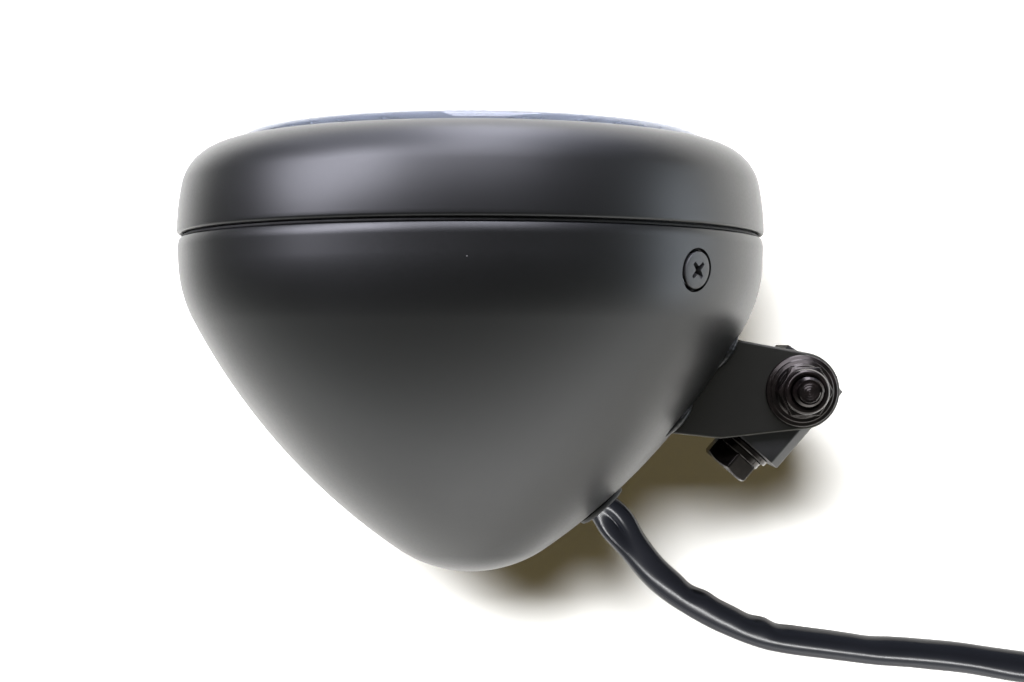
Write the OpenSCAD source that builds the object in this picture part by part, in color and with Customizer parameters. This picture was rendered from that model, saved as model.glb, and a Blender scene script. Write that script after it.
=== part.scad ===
// Round motorcycle headlight on a folding bottom mount, in millimetres.
// The lamp is drawn in its own frame: the origin is the centre of the seam between ring and shell,
// +Y runs back towards the tip of the shell and +Z is up. place() then moves everything so that
// the origin is the centre of the mount block's seat.

/* [Shell] */
// Radius of the shell at the seam
shell_r = 81.4; // [79:0.2:84]
// Sheet thickness of the shell
shell_wall = 2; // [1.6:0.1:2.4]
// Draft of the straight part behind the seam, in degrees
shell_draft = 2.4; // [1:0.2:4]
// Length of the straight part behind the seam
shell_straight = 7; // [5:0.5:10]
// Radius of the shoulder behind the straight part
shoulder_r = 36.8; // [32:0.2:42]
// Angle at which the shoulder runs into the flank, in degrees
shoulder_a = 27.7; // [26:0.1:30]
// Radius of the long flank
flank_r = 178.5; // [165:0.5:190]
// Angle at which the flank runs into the round tip, in degrees
flank_a = 55.1; // [52:0.1:57]
// Depth of the step that takes the trim ring's skirt
neck_step = 2.4; // [2.2:0.1:3]
// Length of the neck that stands inside the trim ring
neck_len = 5; // [4:0.5:6]

/* [Trim ring] */
// Height of the trim ring's edge above the shell at the seam
ring_step = 0.1; // [0:0.1:1]
// Sheet thickness of the trim ring
ring_wall = 1.5; // [1.2:0.1:1.8]
// Radius of the ring's long side curve
ring_side_r = 66.5; // [60:0.5:75]
// Angle at which the side curve runs into the front corner, in degrees
ring_side_a = 11.4; // [9:0.2:13]
// Radius of the ring's front corner
ring_corner_r = 13.6; // [12:0.2:15]
// Angle at which the corner runs into the front lip, in degrees
ring_corner_a = 73.5; // [70:0.5:78]
// Radius of the last bend into the lip
ring_lip_r = 9; // [7:0.5:11]
// Width of the ring's front, from its outside to the opening for the lens
ring_face = 14.1; // [13.2:0.1:15]
// Width of the groove between ring and shell
seam_gap = 1; // [0.6:0.1:1.4]

/* [Lens and reflector] */
// Gap between the lens and the ring's opening
lens_gap = 0.8; // [0.5:0.1:1.5]
// Height of the lens above the back of its flange at the centre
lens_rise = 17; // [15:0.1:18]
// Radius of the lens's front dome
lens_dome_r = 300; // [240:5:400]
// Thickness of the lens
lens_wall = 3.6; // [3:0.1:4.5]
// Distance of the rim of lens and reflector inside the ring's outside
flange_inset = 8.9; // [8.4:0.1:9.8]
// Width of the reflector's flat rim
rim_w = 7.6; // [6.5:0.1:9]
// Number of upright flutes on the inside of the lens
flute_count = 15; // [9:2:19]
// Radius of one flute
flute_r = 1.5; // [1:0.1:1.8]
// Depth of the reflector's bowl
bowl_depth = 44; // [42:0.5:46]
// Thickness of the reflector
reflector_wall = 1.2; // [0.8:0.1:1.6]
// Radius of the reflector's neck, inside
bulb_neck_r = 19; // [18:0.5:21]
// Length of the reflector's neck
bulb_neck_len = 8; // [7:0.5:9]

/* [Bulb and wiring] */
// Radius of the bulb's locating collar
collar_r = 21.5; // [21:0.1:22]
// Radius of the bulb's glass
glass_r = 8.5; // [8:0.1:9]
// Length of the bulb's glass in front of its base
glass_len = 34; // [30:1:38]
// Radius of the bulb's metal base
base_r = 11; // [10:0.2:12]
// Length of the bulb's metal base
base_len = 14; // [12:0.5:16]
// Length of the bulb's blades behind the base
blade_len = 10; // [8:0.5:12]
// Half the width of the plug on the blades
plug_half = 13; // [12:0.5:14]
// Length of the plug
plug_len = 20; // [18:0.5:22]
// Radius of the sleeved lead
sleeve_r = 4.2; // [3.6:0.1:4.6]
// Radius of one wire
wire_r = 1.1; // [0.9:0.05:1.2]
// Distance of the cable hole in front of the shell's tip
cable_inset = 18.6; // [15:0.5:23]
// Radius of the grommet's flange
grommet_r = 7.6; // [7.2:0.1:8.5]
// Height of the grommet's flange above the shell
grommet_rise = 2.4; // [1.8:0.1:3.2]
// Radius of a bullet terminal
bullet_r = 1.95; // [1.8:0.05:2.1]
// Length of a bullet terminal's pin
bullet_len = 9; // [8:0.5:10]

/* [Bracket] */
// Distance of the pivot behind the seam
pivot_back = 42; // [40:0.5:44]
// Distance of the pivot below the shell's edge
pivot_drop = 8.6; // [7.6:0.1:12]
// Sheet thickness of the bracket
bracket_t = 4; // [3:0.1:4.5]
// Radius of the ear's round end
ear_end_r = 10.5; // [9.5:0.1:11.5]
// Front end of the ear's root, behind the seam
root_front = 28; // [26:0.5:30]
// Back end of the ear's root, behind the seam
root_back = 53.5; // [52:0.5:55]
// Gap between the block and each ear
ear_gap = 0.3; // [0.2:0.05:0.5]
// Clearance of an ear in its slot
slot_gap = 0.25; // [0.15:0.05:0.4]
// Height of a weld bead
bead_h = 1.5; // [1:0.1:2]
// Length of a weld bead along the root
bead_len = 7; // [5:0.5:9]

/* [Mount block] */
// Width of the block between the ears
block_w = 25.4; // [22:0.2:28]
// Height of the block across its long side
block_h = 20; // [19:0.2:22]
// Distance from the pivot to the seat at the block's far end
seat_len = 20; // [19.5:0.1:23]
// Distance from the pivot to the block's near end
block_near = 8; // [7:0.1:9]
// Chamfer on the block's long edges
block_chamfer = 2.6; // [1.6:0.1:3]
// Angle of the folded block above the line straight back, in degrees
fold_a = 41; // [38:0.5:48]

/* [Fasteners] */
// Nominal radius of the pivot and mount bolts
bolt_r = 4; // [3.8:0.05:4.2]
// Running clearance of the pivot bolt in the block, on the radius
pivot_clear = 0.08; // [0.04:0.01:0.1]
// Clearance of a bolt in a plain hole, on the radius
hole_clear = 0.2; // [0.15:0.05:0.4]
// Width across the flats of the hexagons
hex_af = 13; // [12:0.2:14]
// Height of a bolt's head
head_h = 5.3; // [4.8:0.1:6]
// Thickness of a flat washer
washer_t = 1.6; // [1.2:0.1:2]
// Radius of a flat washer
washer_r = 8.5; // [8:0.1:9]
// Thickness of the spring washer
spring_t = 2; // [1.6:0.1:2.4]
// Radius of the spring washer
spring_r = 7.4; // [7:0.1:7.6]
// Radius of the nut's flange
nut_flange_r = 9.8; // [9:0.1:10.2]
// Height of the lock nut over all
nut_h = 9.5; // [8.5:0.1:10.5]
// Length of the pivot bolt's end beyond the ear
bolt_end = 12.5; // [11.8:0.1:14]
// Depth of the mount bolt in the block
mount_depth = 12; // [9:0.5:13]
// Distance of the side screws behind the seam
screw_back = 11; // [9:0.5:13]
// Angle of the side screws from straight down, in degrees
screw_a = 45; // [38:1:52]
// Radius of a side screw's head
screw_head_r = 5.2; // [4.6:0.1:5.6]
// Radius of a side screw's shank
screw_r = 2.5; // [2.2:0.1:2.7]
// Length of a side screw
screw_len = 12; // [10:0.5:14]

/* [Hidden] */

// A seat between two pieces that don't move, and a free gap between sheet parts
seat = 0.05;
free = 0.4;
// Fineness of revolved pieces and of small round ones
fn_big = 96;
fn_small = 48;
// Reach of the boxes and bores that cut right through
far = 3 * shell_r;

// Points [radius, y, angle] along an arc that starts at p with its normal turned by a0 from the
// radius, and ends at a1. dir is 1 when the arc runs back and -1 when it runs forward.
function arc_run(p, r, a0, a1, dir, n) =
    let (cr = p[0] - r * cos(a0), cy = p[1] - dir * r * sin(a0))
    [for (i = [0 : n]) let (a = a0 + (a1 - a0) * i / n)
        [cr + r * cos(a), cy + dir * r * sin(a), a]];
function last(list) = list[len(list) - 1];
// The same points moved along their normals, as [radius, y]
function moved(run, d, dir) =
    [for (p = run) [max(0, p[0] + d * cos(p[2])), p[1] + dir * d * sin(p[2])]];
function reversed(list) = [for (i = [len(list) - 1 : -1 : 0]) list[i]];

// The shell's outside, from the seam back to the tip
shell_front = seam_gap / 2;
shell_p0 = [shell_r, shell_front, shell_draft];
shell_p1 = [shell_r - shell_straight * sin(shell_draft),
    shell_front + shell_straight * cos(shell_draft)];
shoulder = arc_run(shell_p1, shoulder_r, shell_draft, shoulder_a, 1, 8);
flank = arc_run(last(shoulder), flank_r, shoulder_a, flank_a, 1, 12);
tip_r = last(flank)[0] / cos(flank_a);
tip = arc_run(last(flank), tip_r, flank_a, 90, 1, 10);
shell_run = concat([shell_p0], shoulder, [for (i = [1 : len(flank) - 1]) flank[i]],
    [for (i = [1 : len(tip) - 1]) tip[i]]);
tip_y = last(tip)[1];
// Radius and slope of the shell's outside at a distance behind the seam
shell_r_table = [for (p = shell_run) [p[1], p[0]]];
shell_a_table = [for (p = shell_run) [p[1], p[2]]];
function shell_r_at(y) = lookup(y, shell_r_table);
function shell_a_at(y) = lookup(y, shell_a_table);

// The trim ring's outside, from the seam forward to its lip
ring_r = shell_r + ring_step;
ring_open_r = ring_r - ring_face;
ring_run0 = arc_run([ring_r, -seam_gap / 2], ring_side_r, -0.5, ring_side_a, -1, 6);
ring_run1 = arc_run(last(ring_run0), ring_corner_r, ring_side_a, ring_corner_a, -1, 12);
ring_run2 = arc_run(last(ring_run1), ring_lip_r, ring_corner_a, 90, -1, 3);
ring_run = concat(ring_run0, [for (i = [1 : len(ring_run1) - 1]) ring_run1[i]],
    [for (i = [1 : len(ring_run2) - 1]) ring_run2[i]]);
ring_front = last(ring_run)[1];
// The ring's inside: its radius at a distance along the axis, and the other way round
ring_inside = reversed(moved(ring_run, -ring_wall, -1));
function ring_in_r(y) = lookup(y, [for (p = ring_inside) [p[1], p[0]]]);
function ring_in_y(r) = lookup(r, [for (p = ring_inside) if (p[0] < ring_r - ring_wall - 2) p]);

// Faces of the lens unit, from front to back
lens_r = ring_open_r - lens_gap;
unit_flange_r = ring_r - flange_inset;
gasket_r = unit_flange_r + 1.2;
flange_front = ring_in_y(gasket_r) + 0.3;
lens_flange_t = 3.6;
lens_back = flange_front + lens_flange_t;
lens_crest = lens_back - lens_rise;
bowl_r = unit_flange_r - rim_w;
reflector_front = lens_back + seat;
focal = bowl_r * bowl_r / (4 * bowl_depth);
vertex = reflector_front + reflector_wall + bowl_depth;
neck_front = vertex - bulb_neck_r * bulb_neck_r / (4 * focal);
neck_back = neck_front + bulb_neck_len;
retainer_front = reflector_front + reflector_wall + seat;
retainer_t = 1.4;

// Faces of the bulb and its plug
collar_t = 1.2;
base_back = neck_back + seat + collar_t + base_len;
plug_front = base_back + 1;
plug_back = plug_front + plug_len;
blade_w = 8;
blade_t = 0.8;
pocket_clear = 0.15;
// Where the wires enter the plug, as [x, z]
plug_wires = [[-7, 0], [7, 0], [0, 7.5]];

// The bracket's faces, and the pivot
pivot_down = shell_r + pivot_drop;
pivot = [0, pivot_back, -pivot_down];
ear_in = block_w / 2 + ear_gap;
ear_out = ear_in + bracket_t;
web_out = shell_wall + seat;
function drop_at(y) = sqrt(pow(shell_r_at(y), 2) - pow(ear_out, 2));

// The block's seat, which is the origin of the finished part
seat_point = pivot + seat_len * [0, cos(fold_a), sin(fold_a)];

// The cable hole
cable_back = tip_y - cable_inset;
cable_point = [0, cable_back, -shell_r_at(cable_back)];
cable_a = shell_a_at(cable_back);
hole_r = sleeve_r + 1.4;

// The lead's route, measured from the cable hole
function from_hole(route) = [for (p = route) cable_point + p];
sleeve_route = from_hole([[0, -4.5, 4], [0, 0, 0], [0, 4.5, -3.9], [0, 12.5, -9.7],
    [0, 20, -16.2], [0, 26.5, -24.7], [0, 32.5, -35.7], [0, 37, -47.7], [0, 39.5, -63.7],
    [0, 41, -75.7], [0, 42, -88.7], [0, 43.5, -103.7], [0, 46, -119.7], [0, 47.5, -135.7],
    [0, 48.5, -151.7], [0, 49, -169.7], [0, 49, -188.7]]);
// The three wires' routes beyond the sleeve
lead_routes = [
    from_hole([[-2, 48, -188.75], [-2, 48, -194.7], [-4, 47.5, -204.7], [-8, 46, -215.7],
        [-11, 44.5, -227.7], [-12, 43.5, -240.7], [-12, 43.5, -253.7]]),
    from_hole([[2, 48, -188.75], [2, 48, -194.7], [4, 48, -204.7], [8, 47.5, -216.7],
        [11, 47, -228.7], [12, 46.5, -242.7], [12, 46.5, -256.7]]),
    from_hole([[0, 51, -188.75], [0, 51, -194.7], [0, 52.5, -204.7], [0, 55, -214.7],
        [0, 56.5, -225.7], [0, 56.5, -235.7], [0, 56.5, -246.7]])];
// The three wires' routes inside the shell, stretched to end in the plug's back
wire_sink = 6.2;
function stretched(route, end) =
    let (n = len(route) - 1, rest = end - cable_point - route[n])
    [for (i = [0 : n]) cable_point + route[i] + rest * i / n];
harness_shapes = [
    [[-1.8, -4, 4.7], [-1.8, -7, 7.3], [-3, -8.5, 10.8], [-5, -6.5, 14.8], [-6.5, -1.5, 18.3],
        [-8, 4, 21.8], [-8.5, 7.5, 27.3], [-8, 6, 33.3], [-7.3, 1, 36], [-7, -4.5, 36.3],
        [-7, -12.5, 36.3]],
    [[1.8, -4, 4.7], [1.8, -7, 7.3], [3, -8.5, 10.8], [5, -6.5, 14.8], [6.5, -1.5, 18.3],
        [8, 4, 21.8], [8.5, 7.5, 27.3], [8, 6, 33.3], [7.3, 1, 36], [7, -4.5, 36.3],
        [7, -12.5, 36.3]],
    [[0, -5.6, 2.9], [0, -8.6, 5.5], [0, -10.7, 9.3], [0, -10, 13.8], [0, -5.5, 17.5],
        [0, 0.5, 19.3], [0, 6.5, 22.8], [0, 9.5, 29.3], [0, 8.8, 36.3], [0, 4.5, 41.8],
        [0, -1.5, 43.8], [0, -12.5, 43.8]]];
harness_routes = [for (i = [0 : 2])
    stretched(harness_shapes[i], [plug_wires[i][0], plug_back - wire_sink, plug_wires[i][1]])];

module place() {
    translate(-seat_point) children();
}

// Turns a profile of [radius, y] points about the lamp's axis
module lamp_revolve(points, angle = 360) {
    rotate([-90, 0, 0]) rotate_extrude(angle = angle, $fn = fn_big) polygon(points);
}

// The solid that fills the shell's outside moved by d
module shell_solid(d) {
    lamp_revolve(concat([[0, shell_front - 1]], [[shell_r + d, shell_front - 1]],
        moved(shell_run, d, 1)));
}

// What lies between two offsets of the shell's outside
module shell_layer(d_out, d_in) {
    difference() {
        shell_solid(d_out);
        shell_solid(d_in);
    }
}

// A cylinder along X, centred on x
module x_cylinder(r, x0, x1, fn = fn_small) {
    translate([x0, 0, 0]) rotate([0, 90, 0]) cylinder(r = r, h = x1 - x0, $fn = fn);
}

// A cylinder along Y
module y_cylinder(r, y0, y1, fn = fn_small) {
    translate([0, y0, 0]) rotate([-90, 0, 0]) cylinder(r = r, h = y1 - y0, $fn = fn);
}

// A hexagon along +Z with its corners lightly turned off at the top
module hexagon(h) {
    intersection() {
        cylinder(r = hex_af / sqrt(3), h = h, $fn = 6);
        rotate_extrude($fn = fn_small) polygon([[0, 0], [hex_af / sqrt(3) + 0.1, 0],
            [hex_af / sqrt(3) + 0.1, h - 1], [hex_af / 2 - 0.3, h], [0, h]]);
    }
}

// Turns a sector of some width, revolved from +X, so that its middle lies at an angle from
// straight down
module from_below(a, width) {
    rotate([0, 90 - a - width / 2, 0]) children();
}

// Moves things to a side screw: +Z points out of the shell, the origin lies on its surface
module at_screw(side) {
    y = screw_back;
    rotate([0, -side * screw_a, 0]) translate([0, y, -shell_r_at(y)])
        rotate([180 + shell_a_at(y), 0, 0]) children();
}

// Moves things to the cable hole: +Z points out of the shell, the origin lies on its surface
module at_cable() {
    translate(cable_point) rotate([180 + cable_a, 0, 0]) children();
}

// Moves things to the folded block: the origin is the pivot and +Y runs to the seat
module at_block() {
    translate(pivot) rotate([fold_a, 0, 0]) children();
}

// A tube of sides flats along a route that stays clear of the X direction
function unit(v) = v / norm(v);
function heading(route, i) = unit(route[min(i + 1, len(route) - 1)] - route[max(i - 1, 0)]);
function ring_at(route, i, r, sides) =
    let (t = heading(route, i), u = unit(cross(t, [1, 0, 0])), v = cross(t, u))
    [for (k = [0 : sides - 1]) let (a = 360 * k / sides)
        route[i] + r * cos(a) * u + r * sin(a) * v];
module tube(route, r, sides) {
    n = len(route);
    points = [for (i = [0 : n - 1]) each ring_at(route, i, r, sides)];
    walls = [for (i = [0 : n - 2]) for (k = [0 : sides - 1])
        let (a = i * sides + k, b = i * sides + (k + 1) % sides)
        each [[a, b, b + sides], [a, b + sides, a + sides]]];
    ends = [[for (k = [sides - 1 : -1 : 0]) k],
        [for (k = [0 : sides - 1]) (n - 1) * sides + k]];
    polyhedron(points, concat(walls, ends));
}

// Dimple of a side screw: a countersunk cup pressed into the shell
dimple_depth = 3.1;
dimple_wall = 1.1;
screw_sink = 0.3;
tab_out_r = min(shell_r - neck_step - shell_wall - free,
    shell_r_at(screw_back) - dimple_depth - dimple_wall - 1.1);
foot_r = ring_in_r(-neck_len - 11) - seat;

module dimple_cup(grow) {
    translate([0, 0, -dimple_depth - grow]) cylinder(r1 = screw_r + 1.2 + grow,
        r2 = screw_head_r + 1 + grow, h = dimple_depth + grow, $fn = fn_small);
}

module shell_neck() {
    r_out = shell_r - neck_step;
    lamp_revolve([[r_out - shell_wall, -neck_len], [r_out, -neck_len], [r_out, shell_front],
        [shell_r, shell_front], [shell_r - shell_draft / 20, shell_front + shell_wall],
        [r_out - shell_wall, shell_front + shell_wall + neck_step]]);
}

module slot_cut(side) {
    x = side * (ear_in + ear_out) / 2;
    w = bracket_t + 2 * slot_gap;
    l = root_back - root_front + 2 * slot_gap;
    translate([x - w / 2, root_front - slot_gap, -drop_at(root_front) - 6])
        cube([w, l, drop_at(root_front) - drop_at(root_back) + 14]);
}

module shell() {
    color([0.1, 0.1, 0.1]) difference() {
        union() {
            difference() {
                shell_solid(0);
                shell_solid(-shell_wall);
                translate([0, shell_front - far / 2, 0]) cube(far, center = true);
            }
            shell_neck();
            for (side = [-1, 1]) intersection() {
                at_screw(side) dimple_cup(dimple_wall);
                shell_solid(0);
            }
        }
        for (side = [-1, 1]) {
            at_screw(side) {
                dimple_cup(0);
                translate([0, 0, -dimple_depth - 3]) cylinder(r = screw_r + 0.3, h = 6,
                    $fn = fn_small);
                cylinder(r = screw_head_r + 1, h = 3, $fn = fn_small);
            }
            slot_cut(side);
        }
        at_cable() translate([0, 0, -6]) cylinder(r = hole_r, h = 12, $fn = fn_small);
    }
}

module trim_ring() {
    lip = [[ring_open_r, ring_front], [ring_open_r, ring_front + ring_wall]];
    color([0.12, 0.12, 0.12]) lamp_revolve(concat(moved(ring_run, 0, -1), lip,
        [for (p = ring_inside) if (p[0] > ring_open_r + 0.1) p]));
}

module seam_seal() {
    r_in = shell_r - neck_step + seat;
    w = seam_gap - 2 * seat;
    color([0.03, 0.03, 0.03]) lamp_revolve([[r_in, -w / 2], [shell_r - 1, -w / 2],
        [shell_r - 0.8, 0], [shell_r - 1, w / 2], [r_in, w / 2]]);
}

// The lens: a dome of one radius with a rounded edge, hollow behind, on a flat flange
lens_edge_r = 3;
lens_top_r = (lens_r - lens_edge_r) / (1 - lens_edge_r / lens_dome_r);
lens_top_a = asin(lens_top_r / lens_dome_r);
lens_centre_y = lens_crest + lens_dome_r;

module lens_ball(r) {
    translate([0, lens_centre_y, 0]) sphere(r = r, $fn = 360);
}

module lens() {
    top_y = lens_centre_y - lens_dome_r * cos(lens_top_a);
    round_r = lens_r - lens_edge_r;
    round_y = top_y + lens_edge_r * cos(lens_top_a);
    edge = [for (i = [0 : 5]) let (a = lens_top_a + (90 - lens_top_a) * i / 5)
        [round_r + lens_edge_r * sin(a), round_y - lens_edge_r * cos(a)]];
    in_r = lens_r - lens_wall;
    inner_r = lens_dome_r - lens_wall;
    color([0.75, 0.85, 0.95, 0.5]) union() {
        difference() {
            intersection() {
                lamp_revolve(concat([[0, top_y - lens_top_r * tan(lens_top_a)]], edge,
                    [[lens_r, flange_front], [unit_flange_r, flange_front],
                    [unit_flange_r, lens_back], [0, lens_back]]));
                lens_ball(lens_dome_r);
            }
            intersection() {
                y_cylinder(in_r, lens_crest - 5, lens_back + 5, fn_big);
                lens_ball(inner_r);
            }
        }
        lens_flutes(in_r - 3, inner_r);
    }
}

// Upright round flutes that follow the inside of the dome
module lens_flutes(reach, inner_r) {
    pitch = 2 * reach / (flute_count + 1);
    for (i = [1 : flute_count]) {
        x = -reach + i * pitch;
        path_r = sqrt(inner_r * inner_r - x * x);
        half = asin((sqrt(reach * reach - x * x) - 1) / path_r);
        translate([x, lens_centre_y, 0]) rotate([0, 90, 0]) rotate([0, 0, -90 - half])
            rotate_extrude(angle = 2 * half, $fn = 360) translate([path_r, 0])
            circle(r = flute_r, $fn = 16);
    }
}

// A rubber ring that fills the ring's front corner and wraps the flange's edge
module lens_gasket() {
    front = [for (p = moved(ring_run, -ring_wall - seat, -1))
        if (p[0] > ring_open_r + 1 && p[0] < gasket_r) p];
    color([0.03, 0.03, 0.03]) lamp_revolve(concat([[gasket_r, flange_front]], front,
        [[last(front)[0], flange_front - seat], [unit_flange_r + seat, flange_front - seat],
        [unit_flange_r + seat, lens_back], [gasket_r, lens_back]]));
}

module reflector() {
    n = 14;
    start = reflector_front + reflector_wall;
    bowl = [for (i = [0 : n]) let (r = bowl_r + (bulb_neck_r - bowl_r) * i / n)
        [r, vertex - r * r / (4 * focal)]];
    outside = [for (i = [n : -1 : 0]) let (r = bowl[i][0]) let (a = atan(r / (2 * focal)))
        [r + reflector_wall * sin(a), bowl[i][1] + reflector_wall * cos(a)]];
    outer = [for (p = outside) if (p[1] > start + 0.2) p];
    color([0.85, 0.87, 0.9]) lamp_revolve(concat([[unit_flange_r, start],
        [unit_flange_r, reflector_front], [bowl_r, reflector_front]], bowl,
        [[bulb_neck_r, neck_back], [bulb_neck_r + 4, neck_back],
        [bulb_neck_r + 4, neck_back - reflector_wall],
        [bulb_neck_r + reflector_wall, neck_back - reflector_wall]],
        [for (p = outer) if (p[0] > bulb_neck_r + reflector_wall) p],
        [[last(outer)[0] + 0.4, start]]));
}

module retaining_ring() {
    r_in = bowl_r + 3.4;
    color([0.6, 0.6, 0.62]) lamp_revolve([[r_in, retainer_front], [unit_flange_r + 0.4,
        retainer_front], [unit_flange_r + 0.4, retainer_front + 5],
        [unit_flange_r - 0.8, retainer_front + 5], [unit_flange_r - 0.8,
        retainer_front + retainer_t], [r_in, retainer_front + retainer_t]]);
}

// Spring clips bent from strip, pressed between the trim ring's wall and the retaining ring
clip_angles = [90, 150, 210, 270];
module unit_clips() {
    y0 = retainer_front + retainer_t + seat;
    r_wall = ring_in_r(y0 - 1) - seat;
    r_foot = unit_flange_r - 2.2;
    t = 0.8;
    color([0.6, 0.62, 0.65]) for (a = clip_angles) from_below(a, 10)
        lamp_revolve([[r_foot, y0], [r_foot + t, y0], [r_foot + t, y0 + 6],
            [r_wall - t, y0 + 9], [r_wall - t, y0 - 1], [r_wall, y0 - 1], [r_wall, y0 + 9.6],
            [r_foot, y0 + 6.6]], 10);
}

module bulb_glass() {
    r = glass_r;
    front = neck_back - 2 - glass_len;
    color([0.9, 0.92, 0.95, 0.5]) union() {
        y_cylinder(r, front + r, neck_back - 2);
        translate([0, front + r, 0]) rotate([-90, 0, 0]) rotate_extrude($fn = fn_small)
            polygon(concat([[0, 0]], [for (a = [0 : 10 : 90]) [r * cos(a), -r * sin(a)]]));
    }
}

module bulb_base() {
    y0 = neck_back + seat;
    color([0.7, 0.7, 0.72]) union() {
        y_cylinder(base_r - 1, neck_back - 2 + seat, y0 + 0.1);
        y_cylinder(collar_r - 2, y0, y0 + collar_t);
        for (a = [0, 125, 235]) rotate([0, a, 0]) translate([-3, y0, collar_r - 4])
            cube([6, collar_t, 4]);
        y_cylinder(base_r, y0 + collar_t - 0.1, base_back);
    }
}

// Places of the three blades: two upright at the sides and one flat on top
module each_blade() {
    for (x = [-7, 7]) translate([x, 0, 0]) rotate([0, 90, 0]) children();
    translate([0, 0, 7.5]) children();
}

module bulb_blades() {
    color([0.8, 0.7, 0.45]) each_blade() translate([-blade_w / 2, base_back + seat, -blade_t / 2])
        cube([blade_w, blade_len - seat, blade_t]);
}

module bulb_clip() {
    r = 0.8;
    ring = collar_r - 4.5;
    y = neck_back + seat + collar_t + r + seat;
    color([0.75, 0.75, 0.78]) translate([0, y, 0]) rotate([-90, 0, 0]) {
        rotate([0, 0, -55]) rotate_extrude(angle = 290, $fn = fn_big) translate([ring, 0])
            circle(r = r, $fn = 16);
        for (a = [-55, 235]) rotate([0, 0, a]) translate([ring, 0, 0]) rotate([0, 90, 0])
            cylinder(r = r, h = bulb_neck_r + 2 - ring, $fn = 16);
    }
}

module dust_boot() {
    r0 = bulb_neck_r + 4 + seat;
    y0 = neck_back - reflector_wall - 0.5;
    r1 = base_r + 0.1;
    y1 = base_back - 5;
    wall = 1.6;
    folds = [for (i = [0 : 5]) [r0 + wall - 1 - (r0 - r1 - 1) * i / 5 + (i % 2) * 1.2,
        y0 + 5 + (y1 - y0 - 5) * i / 5]];
    inner = [for (i = [5 : -1 : 0]) [folds[i][0] - wall, folds[i][1] - 0.6]];
    color([0.05, 0.05, 0.05]) lamp_revolve(concat([[r0, y0 + 2.5], [r0, y0], [r0 + wall, y0]],
        folds, [[r1 + wall, y1 + 3], [r1, y1 + 3], [r1, y1 - 1]],
        [for (p = inner) if (p[0] > r1 + 0.2 && p[0] < r0 - 0.2) p]));
}

module bulb_connector() {
    color([0.9, 0.88, 0.8]) difference() {
        union() {
            translate([-plug_half, plug_front, -10]) cube([2 * plug_half, plug_len, 22]);
            translate([3 - plug_half, plug_front + 2, -12])
                cube([2 * plug_half - 6, plug_len - 4, 26]);
        }
        each_blade() translate([-blade_w / 2 - pocket_clear, plug_front - 1,
            -blade_t / 2 - pocket_clear])
            cube([blade_w + 2 * pocket_clear, blade_len + 1.5, blade_t + 2 * pocket_clear]);
        for (p = plug_wires) translate([p[0], 0, p[1]])
            y_cylinder(wire_r + 0.15, plug_back - 8, plug_back + 1, 24);
    }
}

module harness_wire(i) {
    color([[0.9, 0.9, 0.85], [0.1, 0.25, 0.7], [0.08, 0.08, 0.08]][i])
        tube(harness_routes[i], wire_r, 8);
}
module harness_wire_1() { harness_wire(0); }
module harness_wire_2() { harness_wire(1); }
module harness_wire_3() { harness_wire(2); }

module cable_grommet() {
    bore = sleeve_r + 3 * seat;
    neck = hole_r - seat;
    color([0.06, 0.06, 0.06]) difference() {
        at_cable() translate([0, 0, -shell_wall - 4]) rotate_extrude($fn = fn_small)
            polygon([[bore, 0], [grommet_r - 1.4, 0], [grommet_r - 0.6, 1],
                [grommet_r - 0.6, shell_wall + 4], [grommet_r, shell_wall + 4],
                [grommet_r, shell_wall + 4 + grommet_rise - 1],
                [grommet_r - 1, shell_wall + 4 + grommet_rise],
                [bore + 0.6, shell_wall + 4 + grommet_rise + 0.4],
                [bore, shell_wall + 4 + grommet_rise]]);
        difference() {
            shell_layer(seat, -shell_wall - seat);
            at_cable() translate([0, 0, -10]) cylinder(r = neck, h = 20, $fn = fn_small);
        }
    }
}

module cable_sleeve() {
    color([0.05, 0.05, 0.05]) tube(sleeve_route, sleeve_r, 12);
}

module lead_wire(i) {
    color([[0.9, 0.9, 0.85], [0.1, 0.25, 0.7], [0.08, 0.08, 0.08]][i])
        tube(lead_routes[i], wire_r, 8);
}
module lead_wire_1() { lead_wire(0); }
module lead_wire_2() { lead_wire(1); }
module lead_wire_3() { lead_wire(2); }

barrel_len = 8;
module lead_terminals() {
    color([0.85, 0.7, 0.35]) for (route = lead_routes) translate(last(route)) {
        mirror([0, 0, 1]) rotate_extrude($fn = 32) polygon([[0, seat], [1.5, seat],
            [1.5, barrel_len], [2.3, barrel_len], [2.3, barrel_len + 1], [bullet_r, barrel_len + 1],
            [bullet_r, barrel_len + bullet_len], [bullet_r - 0.9, barrel_len + bullet_len + 1.2],
            [0, barrel_len + bullet_len + 1.2]]);
    }
}

module terminal_covers() {
    color([0.6, 0.6, 0.6]) for (route = lead_routes) translate(last(route))
        translate([0, 0, -barrel_len + seat]) difference() {
            cylinder(r = 2.4, h = barrel_len + 5, $fn = 32);
            translate([0, 0, -1]) cylinder(r = 1.6, h = barrel_len + 7, $fn = 32);
        }
}

// A strip with a foot on the trim ring's wall that steps in and runs back inside the shell
tab_t = 1.6;
module strip(y_end, width) {
    lamp_revolve([[tab_out_r - tab_t, y_end], [tab_out_r - tab_t, -neck_len - 4],
        [foot_r - tab_t, -neck_len - 5.5], [foot_r - tab_t, -neck_len - 11],
        [foot_r, -neck_len - 11], [foot_r, -neck_len - 4.5], [tab_out_r, -neck_len - 2],
        [tab_out_r, y_end]], width);
}

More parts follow.
